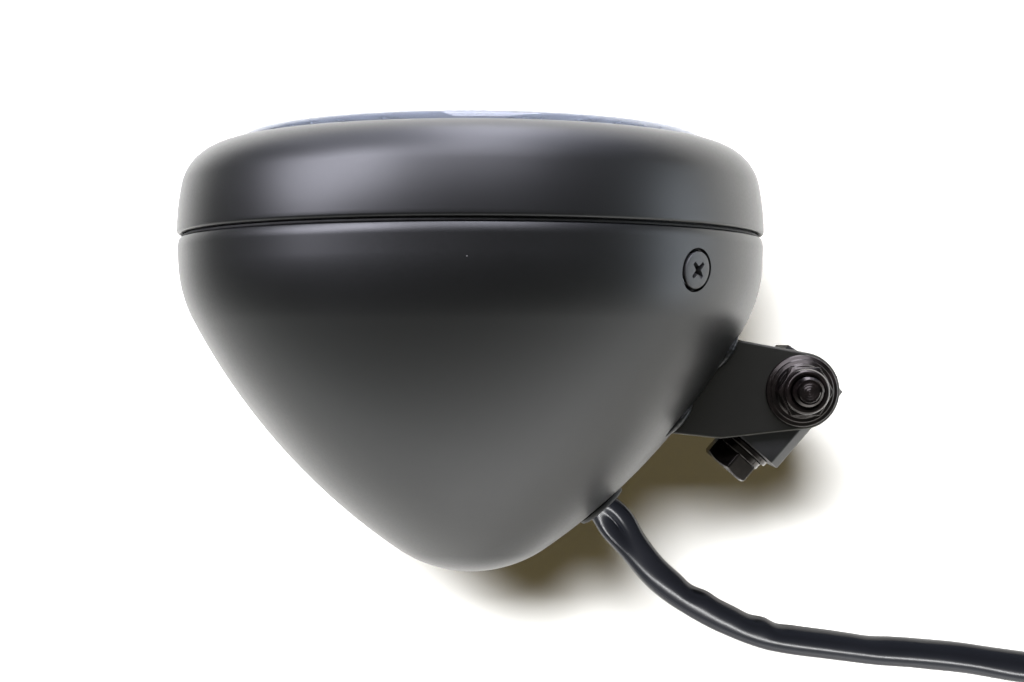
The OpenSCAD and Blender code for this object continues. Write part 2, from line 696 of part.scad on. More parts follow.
// Threaded tabs that take the side screws
module screw_tabs() {
    nut_top = dimple_depth + dimple_wall + 1.1 + tab_t / 2;
    color([0.55, 0.55, 0.57]) for (side = [-1, 1]) difference() {
        union() {
            from_below(side * screw_a, 10) strip(screw_back + 7, 10);
            at_screw(side) translate([0, 0, -nut_top - 3.4])
                cylinder(r = 4.2, h = 3.4, $fn = fn_small);
        }
        at_screw(side) translate([0, 0, -2 * screw_len]) cylinder(r = screw_r + seat,
            h = 2 * screw_len, $fn = fn_small);
    }
}

// The hook at the top that holds the ring to the shell's neck
module top_hook() {
    color([0.55, 0.55, 0.57]) from_below(180, 12) strip(3, 12);
}

module side_screws() {
    head_h = screw_head_r - screw_r;
    color([0.12, 0.12, 0.12]) for (side = [-1, 1]) at_screw(side) difference() {
        union() {
            translate([0, 0, -screw_sink - head_h]) cylinder(r1 = screw_r, r2 = screw_head_r,
                h = head_h, $fn = fn_small);
            translate([0, 0, -screw_sink - screw_len]) cylinder(r = screw_r,
                h = screw_len - head_h + 0.01, $fn = fn_small);
        }
        for (a = [45, 135]) rotate([0, 0, a]) translate([-2.4, -0.5, -screw_sink - 1.6])
            cube([4.8, 1, 3]);
    }
}

// The ear's outline, in [y, z], from inside the shell round the pivot and back
module ear_outline() {
    a = [root_front, -drop_at(root_front)];
    b = [root_back, -drop_at(root_back)];
    heel = [root_back + 1.5, -drop_at(root_back) - 14];
    c = [pivot_back, -pivot_down];
    t_front = tangent_point(a, c, ear_end_r, 1);
    t_heel = tangent_point(heel, c, ear_end_r, -1);
    polygon([[root_front - 0.2, a[1] + 12], [root_back - 0.2, a[1] + 32], b, heel, t_heel, c,
        t_front, a]);
    translate(c) circle(r = ear_end_r, $fn = fn_big);
}
// The point where a line from p touches a circle, on one side or the other
function tangent_point(p, c, r, side) =
    let (d = norm(p - c), a = atan2(p[1] - c[1], p[0] - c[0]) + side * acos(r / d))
    c + r * [cos(a), sin(a)];

module mounting_bracket() {
    color([0.13, 0.13, 0.12]) difference() {
        union() {
            for (side = [-1, 1]) difference() {
                translate([side * (ear_in + ear_out) / 2, 0, 0]) rotate([90, 0, 90])
                    linear_extrude(height = bracket_t, center = true) ear_outline();
                shell_solid(-web_out - bracket_t);
            }
            intersection() {
                shell_layer(-web_out, -web_out - bracket_t);
                translate([-ear_out, root_front + 1, -far])
                    cube([2 * ear_out, root_back - root_front - 2, far]);
            }
            for (side = [-1, 1]) weld_beads(side);
        }
        translate(pivot) x_cylinder(bolt_r + hole_clear, -far, far);
    }
}

// Two weld beads at the ends of an ear's slot, on the outside
module weld_beads(side) {
    intersection() {
        shell_layer(bead_h, seat);
        union() for (y = [root_front - 1, root_back + 1 - bead_len])
            translate([side * (ear_out + bead_h / 2), y, 0]) mirror([0, 0, 1])
                translate([-bead_h / 2 - 0.8, 0, 0]) cube([bead_h + 0.8, bead_len, shell_r]);
    }
}

module mount_block() {
    c = block_chamfer;
    w = block_w / 2;
    h = block_h / 2;
    color([0.12, 0.12, 0.11]) at_block() difference() {
        translate([0, -block_near, 0]) rotate([-90, 0, 0])
            linear_extrude(height = block_near + seat_len)
            polygon([[-w + c, -h], [w - c, -h], [w, -h + c], [w, h - c], [w - c, h],
                [-w + c, h], [-w, h - c], [-w, -h + c]]);
        x_cylinder(bolt_r + pivot_clear, -far, far);
        y_cylinder(bolt_r + seat, seat_len - mount_depth - 2, seat_len + 1);
    }
}

module pivot_bolt() {
    head_x = ear_out + washer_t + 2 * seat;
    color([0.1, 0.1, 0.1]) translate(pivot) {
        x_cylinder(bolt_r, -ear_out - bolt_end + 0.8, head_x + 0.1);
        translate([-ear_out - bolt_end, 0, 0]) rotate([0, 90, 0])
            cylinder(r1 = bolt_r - 0.8, r2 = bolt_r, h = 0.8, $fn = fn_small);
        translate([head_x, 0, 0]) rotate([0, 90, 0]) hexagon(head_h);
    }
}

module pivot_washer() {
    color([0.1, 0.1, 0.1]) translate(pivot) difference() {
        x_cylinder(washer_r, ear_out + seat, ear_out + seat + washer_t);
        x_cylinder(bolt_r + hole_clear, 0, far);
    }
}

// A flange nut with a round collar at its free end
module pivot_nut() {
    collar = hex_af / 2 - 0.1;
    color([0.08, 0.08, 0.08]) translate(pivot + [-ear_out - seat, 0, 0]) rotate([0, -90, 0])
        difference() {
            union() {
                rotate_extrude($fn = fn_small) polygon([[0, 0], [nut_flange_r, 0],
                    [nut_flange_r, 0.9], [hex_af / 2, 2.6], [0, 2.6]]);
                cylinder(r = hex_af / sqrt(3), h = nut_h - 2.4, $fn = 6);
                rotate_extrude($fn = fn_small) polygon([[0, 1], [collar, 1],
                    [collar, nut_h - 1.2], [collar - 1.2, nut_h], [0, nut_h]]);
            }
            translate([0, 0, -1]) cylinder(r = bolt_r + seat, h = nut_h + 2, $fn = fn_small);
        }
}

module mount_bolt() {
    head_y = seat_len + washer_t + spring_t + 3 * seat;
    color([0.08, 0.08, 0.08]) at_block() {
        y_cylinder(bolt_r, seat_len - mount_depth, head_y + 0.1);
        translate([0, head_y, 0]) rotate([-90, 0, 0]) hexagon(head_h);
    }
}

module mount_flat_washer() {
    y0 = seat_len + seat;
    color([0.1, 0.1, 0.1]) at_block() difference() {
        y_cylinder(washer_r, y0, y0 + washer_t);
        y_cylinder(bolt_r + hole_clear, y0 - 1, y0 + washer_t + 1);
    }
}

// A split ring
module mount_spring_washer() {
    y0 = seat_len + washer_t + 2 * seat;
    color([0.1, 0.1, 0.1]) at_block() difference() {
        y_cylinder(spring_r, y0, y0 + spring_t);
        y_cylinder(bolt_r + hole_clear, y0 - 1, y0 + spring_t + 1);
        translate([spring_r / 2 + 2, y0 + spring_t / 2, 0]) rotate([25, 0, 0])
            cube([spring_r, spring_t * 3, 0.7], center = true);
    }
}

place() shell();
place() trim_ring();
place() seam_seal();
place() lens();
place() lens_gasket();
place() reflector();
place() retaining_ring();
place() unit_clips();
place() bulb_glass();
place() bulb_base();
place() bulb_blades();
place() bulb_clip();
place() dust_boot();
place() bulb_connector();
place() harness_wire_1();
place() harness_wire_2();
place() harness_wire_3();
place() cable_grommet();
place() cable_sleeve();
place() lead_wire_1();
place() lead_wire_2();
place() lead_wire_3();
place() lead_terminals();
place() terminal_covers();
place() screw_tabs();
place() top_hook();
place() side_screws();
place() mounting_bracket();
place() pivot_bolt();
place() pivot_washer();
place() pivot_nut();
place() mount_block();
place() mount_bolt();
place() mount_spring_washer();
place() mount_flat_washer();
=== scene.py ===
"""Round motorcycle headlight on a folding bottom mount, seen from its side on a white table.

Shapes are drawn in millimetres in the lamp's own frame, as the part's source draws them: the
origin is the centre of the seam between ring and bowl, +Y runs back and +Z is up. TO_ROW then
puts each finished mesh in its place in the shared frame, in metres.
"""
from functools import partial
from math import (acos, asin, atan, atan2, cos, exp, hypot, pi, radians, remainder, sin, sqrt,
                  tan, tau)

import bmesh
import bpy
import numpy as np
from mathutils import Matrix, Vector, noise


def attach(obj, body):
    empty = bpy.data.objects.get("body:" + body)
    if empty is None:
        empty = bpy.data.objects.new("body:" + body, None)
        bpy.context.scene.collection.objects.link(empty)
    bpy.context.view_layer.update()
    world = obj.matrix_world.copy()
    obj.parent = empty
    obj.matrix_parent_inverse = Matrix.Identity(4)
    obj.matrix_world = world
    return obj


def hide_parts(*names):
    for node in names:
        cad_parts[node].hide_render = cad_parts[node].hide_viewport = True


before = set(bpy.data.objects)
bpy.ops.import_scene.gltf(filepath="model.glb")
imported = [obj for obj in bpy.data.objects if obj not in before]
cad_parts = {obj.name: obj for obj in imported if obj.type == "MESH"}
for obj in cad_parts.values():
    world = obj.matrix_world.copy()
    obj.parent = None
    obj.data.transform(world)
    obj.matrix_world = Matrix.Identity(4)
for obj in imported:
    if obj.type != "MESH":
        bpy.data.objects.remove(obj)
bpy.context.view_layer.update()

# Sizes, from the part's source
SEAT = Vector((0, 57.0942, -76.8788))
PIVOT = Vector((0, 42, -90))
FOLD = 41
SHELL_R, SHELL_WALL, SEAM = 81.4, 2, 0.5
RING_R, RING_WALL, RING_MOUTH = 81.5, 1.5, 67.4
RIM_SLOPE, SHOULDER_SLOPE, FLANK_SLOPE = 2.4, 27.7, 55.1
SCREW_BACK, SCREW_TURN = 11, 45
BLOCK_WIDTH, BLOCK_HEIGHT, BLOCK_NEAR, SEAT_LEN = 25.4, 20, 8, 20
EAR_IN, EAR_OUT, EAR_END = 13.0, 17.0, 10.5
ROOT_FRONT, ROOT_BACK = 28, 53.5
HEX_FLATS, HEAD_HEIGHT = 13, 5.3
BOLT_HOLE, WASHER_R, WASHER_THICK = 4.2, 8.5, 1.6
NUT_BORE, BLOCK_BORE, SEAT_BORE = 4.05, 4.08, 4.05
CABLE_HOLE = Vector((0, 74.4851, -36.3051))
CABLE_SLOPE = 48.8562
LENS_CREST, LENS_DOME, LENS_BACK = -34.533, 300, -17.533
LENS_EDGE, LENS_WALL, FLANGE, FLANGE_FRONT = 66.6, 3.6, 72.6, -21.133
FOCUS, VERTEX, NECK_BACK = 24.0, 27.717, 31.958
WIRE_R = 1.1
SLEEVE = [(0, -4.5, 4), (0, 0, 0), (0, 4.5, -3.9), (0, 12.5, -9.7), (0, 20, -16.2),
          (0, 26.5, -24.7), (0, 32.5, -35.7), (0, 37, -47.7), (0, 39.5, -63.7), (0, 41, -75.7),
          (0, 42, -88.7), (0, 43.5, -103.7), (0, 46, -119.7), (0, 47.5, -135.7),
          (0, 48.5, -151.7), (0, 49, -169.7), (0, 49, -188.7)]
WIRES = [[(-2, 48, -188.75), (-2, 48, -194.7), (-4, 47.5, -204.7), (-8, 46, -215.7),
          (-11, 44.5, -227.7), (-12, 43.5, -240.7), (-12, 43.5, -253.7)],
         [(2, 48, -188.75), (2, 48, -194.7), (4, 48, -204.7), (8, 47.5, -216.7),
          (11, 47, -228.7), (12, 46.5, -242.7), (12, 46.5, -256.7)],
         [(0, 51, -188.75), (0, 51, -194.7), (0, 52.5, -204.7), (0, 55, -214.7),
          (0, 56.5, -225.7), (0, 56.5, -235.7), (0, 56.5, -246.7)]]

shift = Matrix.Translation


def turned(degrees, axis):
    return Matrix.Rotation(radians(degrees), 4, axis)


TO_ROW = Matrix.Scale(0.001, 4) @ shift(-SEAT)
# Spun profiles stand on local Z: these matrices lay that axis where the piece belongs
LAMP = turned(-90, "X")
BLOCK = shift(PIVOT) @ turned(FOLD, "X")
ALONG_BLOCK = BLOCK @ LAMP
CABLE = shift(CABLE_HOLE) @ turned(180 + CABLE_SLOPE, "X")


def beside_pivot(x, degrees):
    """The pivot's axis from a distance along X, running outwards to either side."""
    return shift(PIVOT + Vector((x, 0, 0))) @ turned(degrees, "Y")


def in_scene(name, data):
    """A new object in the scene."""
    thing = bpy.data.objects.new(name, data)
    bpy.context.collection.objects.link(thing)
    return thing


def make_camera():
    """The photo's view: it looks along +X with the lens at the top and +Z to the left."""
    data = bpy.data.cameras.new("photo_camera")
    data.lens, data.sensor_width = 56.43, 36
    data.clip_start, data.clip_end = 0.01, 20
    camera = in_scene("photo_camera", data)
    camera.matrix_world = Matrix(((0, 0, -1, -0.453), (0, -1, 0, -0.02864),
                                  (-1, 0, 0, 0.0655), (0, 0, 0, 1)))
    bpy.context.scene.camera = camera


make_camera()


# Nodes and finishes
def add(tree, kind, sockets=None, **settings):
    """A new node: its settings, then its inputs by name or number, each a value or a link."""
    node = tree.nodes.new(kind)
    for key, value in settings.items():
        setattr(node, key, value)
    for key, value in (sockets or {}).items():
        if isinstance(value, bpy.types.NodeSocket):
            tree.links.new(value, node.inputs[key])
        else:
            node.inputs[key].default_value = value
    return node


def val(tree, kind, sockets=None, **settings):
    """A new node's first output."""
    return add(tree, kind, sockets, **settings).outputs[0]


def maths(tree, operation, first, second=0.0, third=0.0):
    """The result of a sum, product or comparison of up to three values."""
    return val(tree, "ShaderNodeMath", {0: first, 1: second, 2: third}, operation=operation)


def between(tree, value, low, high, out_low, out_high):
    """A value carried over from one range to another, and held at its ends."""
    return val(tree, "ShaderNodeMapRange", {"Value": value, "From Min": low, "From Max": high,
                                            "To Min": out_low, "To Max": out_high})


def colours(tree, value, *stops):
    """A ramp through (place, colour) stops."""
    ramp = add(tree, "ShaderNodeValToRGB", {"Fac": value})
    bar = ramp.color_ramp.elements
    while len(bar) < len(stops):
        bar.new(0.5)
    for element, (place, colour) in zip(bar, stops):
        element.position, element.color = place, (*colour, 1)
    return ramp.outputs[0]


def cloud(tree, place, size, detail=3.0, stretch=None):
    """Noise with features of a size in metres, stretched along an axis where asked."""
    if stretch:
        place = val(tree, "ShaderNodeMapping", {"Vector": place, "Scale": stretch})
    return add(tree, "ShaderNodeTexNoise",
               {"Vector": place, "Scale": 1 / size, "Detail": detail}).outputs["Fac"]


def new_material(name):
    """A material with its tree and its shader."""
    material = bpy.data.materials.new(name)
    material.use_nodes = True
    return material, material.node_tree, material.node_tree.nodes["Principled BSDF"]


def finish_tree(name, tones, rough, patch=0.02, grain=0.0005, depth=0.00001, stretch=None,
                **constants):
    """A material whose tone and gloss wander in patches, with a fine grain in its surface."""
    material, tree, shader = new_material(name)
    for key, value in constants.items():
        shader.inputs[key.replace("_", " ")].default_value = value
    place = add(tree, "ShaderNodeTexCoord").outputs["Object"]
    patches = cloud(tree, place, patch, 4, stretch)
    fine = cloud(tree, place, grain, 2, stretch)
    tree.links.new(colours(tree, patches, (0.35, tones[0]), (0.68, tones[1])),
                   shader.inputs["Base Color"])
    mixed = maths(tree, "MULTIPLY_ADD", fine, 0.4, maths(tree, "MULTIPLY", patches, 0.6))
    tree.links.new(between(tree, mixed, 0.35, 0.65, *rough), shader.inputs["Roughness"])
    bump = add(tree, "ShaderNodeBump", {"Height": fine, "Strength": 1.0, "Distance": depth})
    tree.links.new(bump.outputs[0], shader.inputs["Normal"])
    return material, tree, shader, place


def finish(*given, **named):
    """Such a material as it stands."""
    return finish_tree(*given, **named)[0]


def satin_paint():
    """Baked satin paint: a fine even grain, faint orange peel and a few specks of dust."""
    material, tree, shader, place = finish_tree(
        "satin_black_paint", ((0.0020, 0.0020, 0.0020), (0.0028, 0.0028, 0.0029)), (0.36, 0.42),
        patch=0.05, grain=0.0007, depth=0.0000022, Specular_IOR_Level=0.5)
    cells = add(tree, "ShaderNodeTexVoronoi", {"Vector": place, "Scale": 75.0})
    speck = between(tree, cells.outputs["Distance"], 0.018, 0.012, 0, 1)
    # One cell in five holds a speck
    pick = val(tree, "ShaderNodeSeparateColor", {"Color": cells.outputs["Color"]})
    chosen = maths(tree, "GREATER_THAN", pick, 0.8)
    dust = maths(tree, "MULTIPLY", speck, chosen)
    paint = shader.inputs["Base Color"].links[0].from_socket
    mix = add(tree, "ShaderNodeMix", {0: dust, 6: paint, 7: (0.2, 0.2, 0.19, 1)},
              data_type="RGBA")
    tree.links.new(mix.outputs[2], shader.inputs["Base Color"])
    return material


def zinc_plating():
    """Zinc with soft crystal patches."""
    rough = (0.25, 0.42)
    material, tree, shader, place = finish_tree(
        "zinc_plated_steel", ((0.5, 0.5, 0.5), (0.66, 0.66, 0.65)), rough, patch=0.006,
        grain=0.0008, depth=0.000008, Metallic=1.0)
    cells = add(tree, "ShaderNodeTexVoronoi", {"Vector": place, "Scale": 420.0})
    tree.links.new(between(tree, cells.outputs["Distance"], 0.0, 0.8, *rough),
                   shader.inputs["Roughness"])
    return material


def clear(name, colour, rough, ior, weight=1.0):
    """Clear glass or plastic with faint waviness and a trace of dust."""
    dusty = tuple(c * 0.97 for c in colour)
    return finish(name, (dusty, colour), rough, grain=0.006, Transmission_Weight=weight, IOR=ior)


MATERIALS = {
    "satin_black": satin_paint(),
    "bracket_black": finish(
        "bracket_paint", ((0.0032, 0.0031, 0.0025), (0.005, 0.0049, 0.004)), (0.46, 0.56),
        patch=0.01, grain=0.0004, depth=0.000008, Specular_Tint=(1, 0.97, 0.86, 1)),
    "block_black": finish(
        "block_oxide", ((0.0035, 0.0034, 0.0032), (0.0085, 0.008, 0.0075)), (0.33, 0.46),
        patch=0.005, depth=0.000006, stretch=(0.3, 1, 1), Specular_IOR_Level=1.0),
    # Oiled black plating: glossy, with a brown cast and dry scuffs
    "black_steel": finish(
        "black_plated_steel", ((0.0024, 0.002, 0.002), (0.010, 0.007, 0.0065)), (0.13, 0.26),
        patch=0.003, grain=0.0007, depth=0.000004, Specular_IOR_Level=0.42,
        Specular_Tint=(1, 0.9, 0.84, 1)),
    "black_screw": finish(
        "black_screw_paint", ((0.022, 0.022, 0.022), (0.04, 0.04, 0.039)), (0.4, 0.52),
        patch=0.003, grain=0.0004),
    "lens_glass": clear("pressed_lens_glass", (0.86, 0.91, 1.0), (0.0, 0.03), 1.52, 0.8),
    "bulb_glass": clear("quartz_bulb_glass", (0.99, 0.99, 1.0), (0.0, 0.02), 1.46),
    # A plated reflector has faint swirls
    "reflector_silver": finish(
        "plated_mirror", ((0.86, 0.87, 0.88), (0.93, 0.94, 0.95)), (0.03, 0.09),
        patch=0.03, grain=0.004, depth=0.000004, Metallic=1.0),
    "zinc_steel": zinc_plating(),
    "brass": finish(
        "crimped_brass", ((0.62, 0.43, 0.17), (0.78, 0.58, 0.27)), (0.2, 0.38),
        patch=0.003, grain=0.0004, depth=0.000006, Metallic=1.0),
    "rubber": finish(
        "moulded_rubber", ((0.014, 0.014, 0.014), (0.03, 0.03, 0.028)), (0.55, 0.75),
        patch=0.004, depth=0.00002),
    "connector_plastic": finish(
        "connector_plastic", ((0.72, 0.7, 0.62), (0.8, 0.78, 0.7)), (0.35, 0.5),
        patch=0.008, grain=0.0006),
    # Soft vinyl is glossy blue-black, and a little uneven from handling
    "vinyl_black": finish(
        "black_vinyl_sleeve", ((0.0065, 0.007, 0.0095), (0.008, 0.0085, 0.0115)), (0.23, 0.26),
        grain=0.004, depth=0.000025, Specular_IOR_Level=0.22),
    "cover_plastic": clear("clear_terminal_cover", (0.93, 0.94, 0.92), (0.18, 0.3), 1.45, 0.85),
}
for shade, tones in (("white", ((0.68, 0.67, 0.62), (0.8, 0.79, 0.74))),
                     ("blue", ((0.01, 0.05, 0.3), (0.02, 0.08, 0.42))),
                     ("black", ((0.012, 0.012, 0.012), (0.022, 0.022, 0.022)))):
    MATERIALS["wire_" + shade] = finish(shade + "_wire", tones, (0.35, 0.5), patch=0.01,
                                        grain=0.0008)


# Geometry trees
def new_tree(name, floats, ints=()):
    """A geometry tree with named inputs, its geometry in and its geometry out."""
    tree = bpy.data.node_groups.new(name, "GeometryNodeTree")
    face = tree.interface
    face.new_socket("Geometry", in_out="INPUT", socket_type="NodeSocketGeometry")
    for kind, labels in (("Float", floats), ("Int", ints)):
        for label in labels:
            face.new_socket(label, in_out="INPUT", socket_type="NodeSocket" + kind)
    face.new_socket("Geometry", in_out="OUTPUT", socket_type="NodeSocketGeometry")
    return tree, tree.nodes.new("NodeGroupInput").outputs


def close_tree(tree, geometry):
    """Hands the geometry out, as the last step of a tree."""
    tree.links.new(geometry, tree.nodes.new("NodeGroupOutput").inputs[0])
    return tree


def spinning_tree():
    """Turns a profile, drawn as [radius, along, 0] points in order, about the local Z axis."""
    tree, given = new_tree("Spin a profile", ["Turn"], ["Columns"])
    calc, weld = partial(maths, tree), 0.0008
    profile = given["Geometry"]
    count = val(tree, "GeometryNodeAttributeDomainSize", {"Geometry": profile})
    lines = calc("ADD", given["Columns"], 1)
    grid = val(tree, "GeometryNodeMeshGrid", {"Vertices X": count, "Vertices Y": lines})
    index = val(tree, "GeometryNodeInputIndex")
    row = calc("FLOOR", calc("DIVIDE", calc("ADD", index, 0.5), lines))
    column = calc("SUBTRACT", index, calc("MULTIPLY", row, lines))
    here = val(tree, "GeometryNodeInputPosition")
    point = add(tree, "GeometryNodeSampleIndex", {"Geometry": profile, "Index": row},
                data_type="FLOAT_VECTOR")
    tree.links.new(here, point.inputs["Value"])
    part = add(tree, "ShaderNodeSeparateXYZ", {0: point.outputs[0]}).outputs
    angle = calc("MULTIPLY", calc("DIVIDE", column, given["Columns"]), given["Turn"])
    x = calc("MULTIPLY", part[0], calc("COSINE", angle))
    y = calc("MULTIPLY", part[0], calc("SINE", angle))
    place = val(tree, "ShaderNodeCombineXYZ", {0: x, 1: y, 2: part[1]})
    turned = add(tree, "GeometryNodeSetPosition", {"Geometry": grid, "Position": place})
    welded = val(tree, "GeometryNodeMergeByDistance",
                 {"Geometry": turned.outputs[0], "Distance": weld})
    return close_tree(tree, welded)


def coil_tree():
    """A round or edged wire wound along the local Z axis, for threads and filaments."""
    tree, given = new_tree("Wind a coil", ["Radius", "Rise", "Turns", "Wire"], ["Sides"])
    line = val(tree, "GeometryNodeCurveSpiral",
               {"Resolution": 40, "Rotations": given["Turns"], "Start Radius": given["Radius"],
                "End Radius": given["Radius"], "Height": given["Rise"]})
    upright = val(tree, "GeometryNodeSetCurveNormal", {"Curve": line}, mode="Z_UP")
    section = val(tree, "GeometryNodeCurvePrimitiveCircle",
                  {"Resolution": given["Sides"], "Radius": given["Wire"]})
    wound = val(tree, "GeometryNodeCurveToMesh",
                {"Curve": upright, "Profile Curve": section, "Fill Caps": True})
    return close_tree(tree, wound)


def pressing_tree():
    """Presses upright flutes into the inside of the lens, and blocks into its lower half."""
    tree, given = new_tree("Press the lens pattern", ["Flute", "Block", "Depth", "Reach", "Crest",
                                                      "Dome", "Half wall"])
    calc = partial(maths, tree)
    here = val(tree, "GeometryNodeInputPosition")
    part = add(tree, "ShaderNodeSeparateXYZ", {0: here}).outputs
    square = calc("ADD", calc("MULTIPLY", part[0], part[0]), calc("MULTIPLY", part[1], part[1]))
    inside = calc("LESS_THAN", square, calc("MULTIPLY", given["Reach"], given["Reach"]))
    twice = calc("MULTIPLY", given["Dome"], 2.0)
    skin = calc("ADD", given["Crest"], calc("DIVIDE", square, twice))
    behind = calc("GREATER_THAN", part[2], calc("ADD", skin, given["Half wall"]))

    def wave(along, width):
        turn = calc("MULTIPLY", calc("DIVIDE", along, width), pi)
        return calc("ABSOLUTE", calc("SINE", turn))

    # Before the lens is laid in the lamp, its local Y points down; blocks start above centre
    blocks_from = -8.0
    lower = calc("GREATER_THAN", part[1], blocks_from)
    flutes = wave(part[0], given["Flute"])
    blocks = calc("MULTIPLY", wave(part[1], given["Block"]), lower)
    height = calc("ADD", flutes, blocks)
    push = calc("MULTIPLY", calc("MULTIPLY", height, given["Depth"]),
                calc("MULTIPLY", inside, behind))
    moved = val(tree, "GeometryNodeSetPosition",
                {"Geometry": given["Geometry"],
                 "Offset": val(tree, "ShaderNodeCombineXYZ", {2: push})})
    return close_tree(tree, moved)


SPIN, COIL, PRESS = spinning_tree(), coil_tree(), pressing_tree()


def as_shown(thing):
    """A new mesh of an object with its modifiers applied."""
    depsgraph = bpy.context.evaluated_depsgraph_get()
    return bpy.data.meshes.new_from_object(thing.evaluated_get(depsgraph))


def run_tree(mesh, tree, **values):
    """The plain mesh that a geometry tree makes of a mesh."""
    carrier = in_scene("carrier", mesh)
    step = carrier.modifiers.new(tree.name, "NODES")
    step.node_group = tree
    for socket in tree.interface.items_tree:
        if socket.in_out == "INPUT" and socket.name in values:
            step[socket.identifier] = values[socket.name]
    result = as_shown(carrier)
    bpy.data.objects.remove(carrier)
    return result


# Mesh helpers
def mesh_of(points, faces=(), edges=()):
    mesh = bpy.data.meshes.new("shape")
    mesh.from_pydata([tuple(p) for p in points], list(edges), [tuple(f) for f in faces])
    return mesh


def tidy(mesh):
    """Merged doubles, faces outwards."""
    apart = 0.0005
    work = bmesh.new()
    work.from_mesh(mesh)
    bmesh.ops.remove_doubles(work, verts=work.verts, dist=apart)
    bmesh.ops.recalc_face_normals(work, faces=work.faces)
    work.to_mesh(mesh)
    work.free()
    return mesh


def spun(profile, at=LAMP, columns=64, turn=tau):
    """The mesh of a profile of [radius, along] points turned about an axis."""
    edges = [(i, i + 1) for i in range(len(profile) - 1)]
    line = mesh_of([(r, z, 0) for r, z in profile], edges=edges)
    mesh = tidy(run_tree(line, SPIN, Columns=columns, Turn=turn))
    mesh.transform(at)
    return mesh


def rod(radius, low, high, at, columns=48):
    """A plain cylinder along an axis, to cut a bore with."""
    return spun([(0, low), (radius, low), (radius, high), (0, high)], at, columns)


def coil(radius, rise, turns, wire, sides, at):
    """A wound wire; four sides make it a thread."""
    mesh = run_tree(mesh_of([(0, 0, 0)]), COIL, Radius=radius, Rise=rise, Turns=turns, Wire=wire,
                    Sides=sides)
    mesh.transform(at)
    return tidy(mesh)


def stack(rings):
    """A closed skin over rings of the same number of points, capped at both ends."""
    n = len(rings[0])
    faces = [(r * n + i, r * n + (i + 1) % n, (r + 1) * n + (i + 1) % n, (r + 1) * n + i)
             for r in range(len(rings) - 1) for i in range(n)]
    last = (len(rings) - 1) * n
    faces += [tuple(range(n))[::-1], tuple(range(last, last + n))]
    return tidy(mesh_of([p for ring in rings for p in ring], faces))


def hexagon(height, hole, at):
    """A hexagon along local Z with turned-off corners on top, round a hole."""
    # The corners are turned off at 30 degrees, from just inside the flats
    n, half, slope = 96, HEX_FLATS / 2, tan(radians(30))
    shoulder = half * 0.955
    angles = [tau * i / n for i in range(n)]
    reach = [half / cos((a % (pi / 3)) - pi / 6) for a in angles]

    def ring(radius, z):
        return [(r * cos(a), r * sin(a), h) for a, r, h in zip(angles, radius, z)]

    top, foot = [height] * n, [0] * n
    rings = [ring([hole] * n, top), ring([shoulder] * n, top),
             ring(reach, [height - max(0, r - shoulder) * slope for r in reach]),
             ring(reach, foot), ring([hole] * n, foot)]
    faces = [(k * n + i, k * n + (i + 1) % n, m * n + (i + 1) % n, m * n + i)
             for k, m in zip(range(5), (1, 2, 3, 4, 0)) for i in range(n)]
    mesh = tidy(mesh_of([p for r in rings for p in r], faces))
    mesh.transform(at)
    return mesh


def smooth_line(points, step):
    """Points at even steps along a smooth curve through the given ones."""
    knots = [Vector(p) for p in points]
    knots = [2 * knots[0] - knots[1]] + knots + [2 * knots[-1] - knots[-2]]
    fine, parts = [], 24
    for a, b, c, d in zip(knots, knots[1:], knots[2:], knots[3:]):
        for i in range(parts):
            t = i / parts
            fine.append(0.5 * (2 * b + (c - a) * t + (2 * a - 5 * b + 4 * c - d) * t * t
                               + (3 * b - 3 * c + d - a) * t ** 3))
    fine.append(knots[-2])
    far = np.concatenate([[0], np.cumsum([(q - p).length for p, q in zip(fine, fine[1:])])])
    where = np.linspace(0, far[-1], int(far[-1] / step) + 1)
    return [Vector(np.interp(s, far, [p[k] for p in fine]) for k in range(3)) for s in where]


def tube_rings(line, sides, radius):
    """Rings along a line that stays clear of X; radius(s, angle) gives each point's reach."""
    rings, far = [], 0.0
    for i, point in enumerate(line):
        heading = (line[min(i + 1, len(line) - 1)] - line[max(i - 1, 0)]).normalized()
        inward = heading.cross(Vector((1, 0, 0))).normalized()
        side = heading.cross(inward)
        far += (point - line[i - 1]).length if i else 0
        rings.append([point + radius(far, a) * (inward * cos(a) + side * sin(a))
                      for a in (tau * k / sides for k in range(sides))])
    return rings


# Pieces
def joined(name, *meshes):
    """One object of several meshes drawn in the lamp's frame, put in its place."""
    work = bmesh.new()
    for mesh in meshes:
        work.from_mesh(mesh)
    result = bpy.data.meshes.new(name)
    work.to_mesh(result)
    work.free()
    result.transform(TO_ROW)
    return in_scene(name, result)


def bake(piece):
    """Applies a piece's modifiers."""
    mesh = as_shown(piece)
    piece.modifiers.clear()
    piece.data = mesh


def cut(piece, *meshes):
    """Cuts shapes drawn in the lamp's frame out of a piece."""
    for mesh in meshes:
        tool = joined("tool", mesh)
        step = piece.modifiers.new("cut", "BOOLEAN")
        step.object, step.operation, step.solver = tool, "DIFFERENCE", "EXACT"
        bake(piece)
        bpy.data.objects.remove(tool)


def soften(piece, width, segments=2):
    """Rounds a piece's edges by a width in millimetres, where they turn by over 35 degrees."""
    step = piece.modifiers.new("soften", "BEVEL")
    step.width, step.segments = width / 1000, segments
    step.limit_method, step.angle_limit = "ANGLE", radians(35)
    bake(piece)


def dress(piece, slot, *nodes, body="lamp", crease=32, flat=False):
    """Gives a piece its finish and its body, and hides the CAD nodes that it stands for."""
    mesh = piece.data
    mesh.materials.clear()
    mesh.materials.append(MATERIALS[slot])
    mesh.shade_smooth()
    mesh.set_sharp_from_angle(angle=radians(crease))
    if flat:
        # Bevelled plates keep their wide faces plane to the eye
        piece.modifiers.new("even", "WEIGHTED_NORMAL").keep_sharp = True
        bake(piece)
    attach(piece, body)
    if nodes:
        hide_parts(*nodes)
    return piece


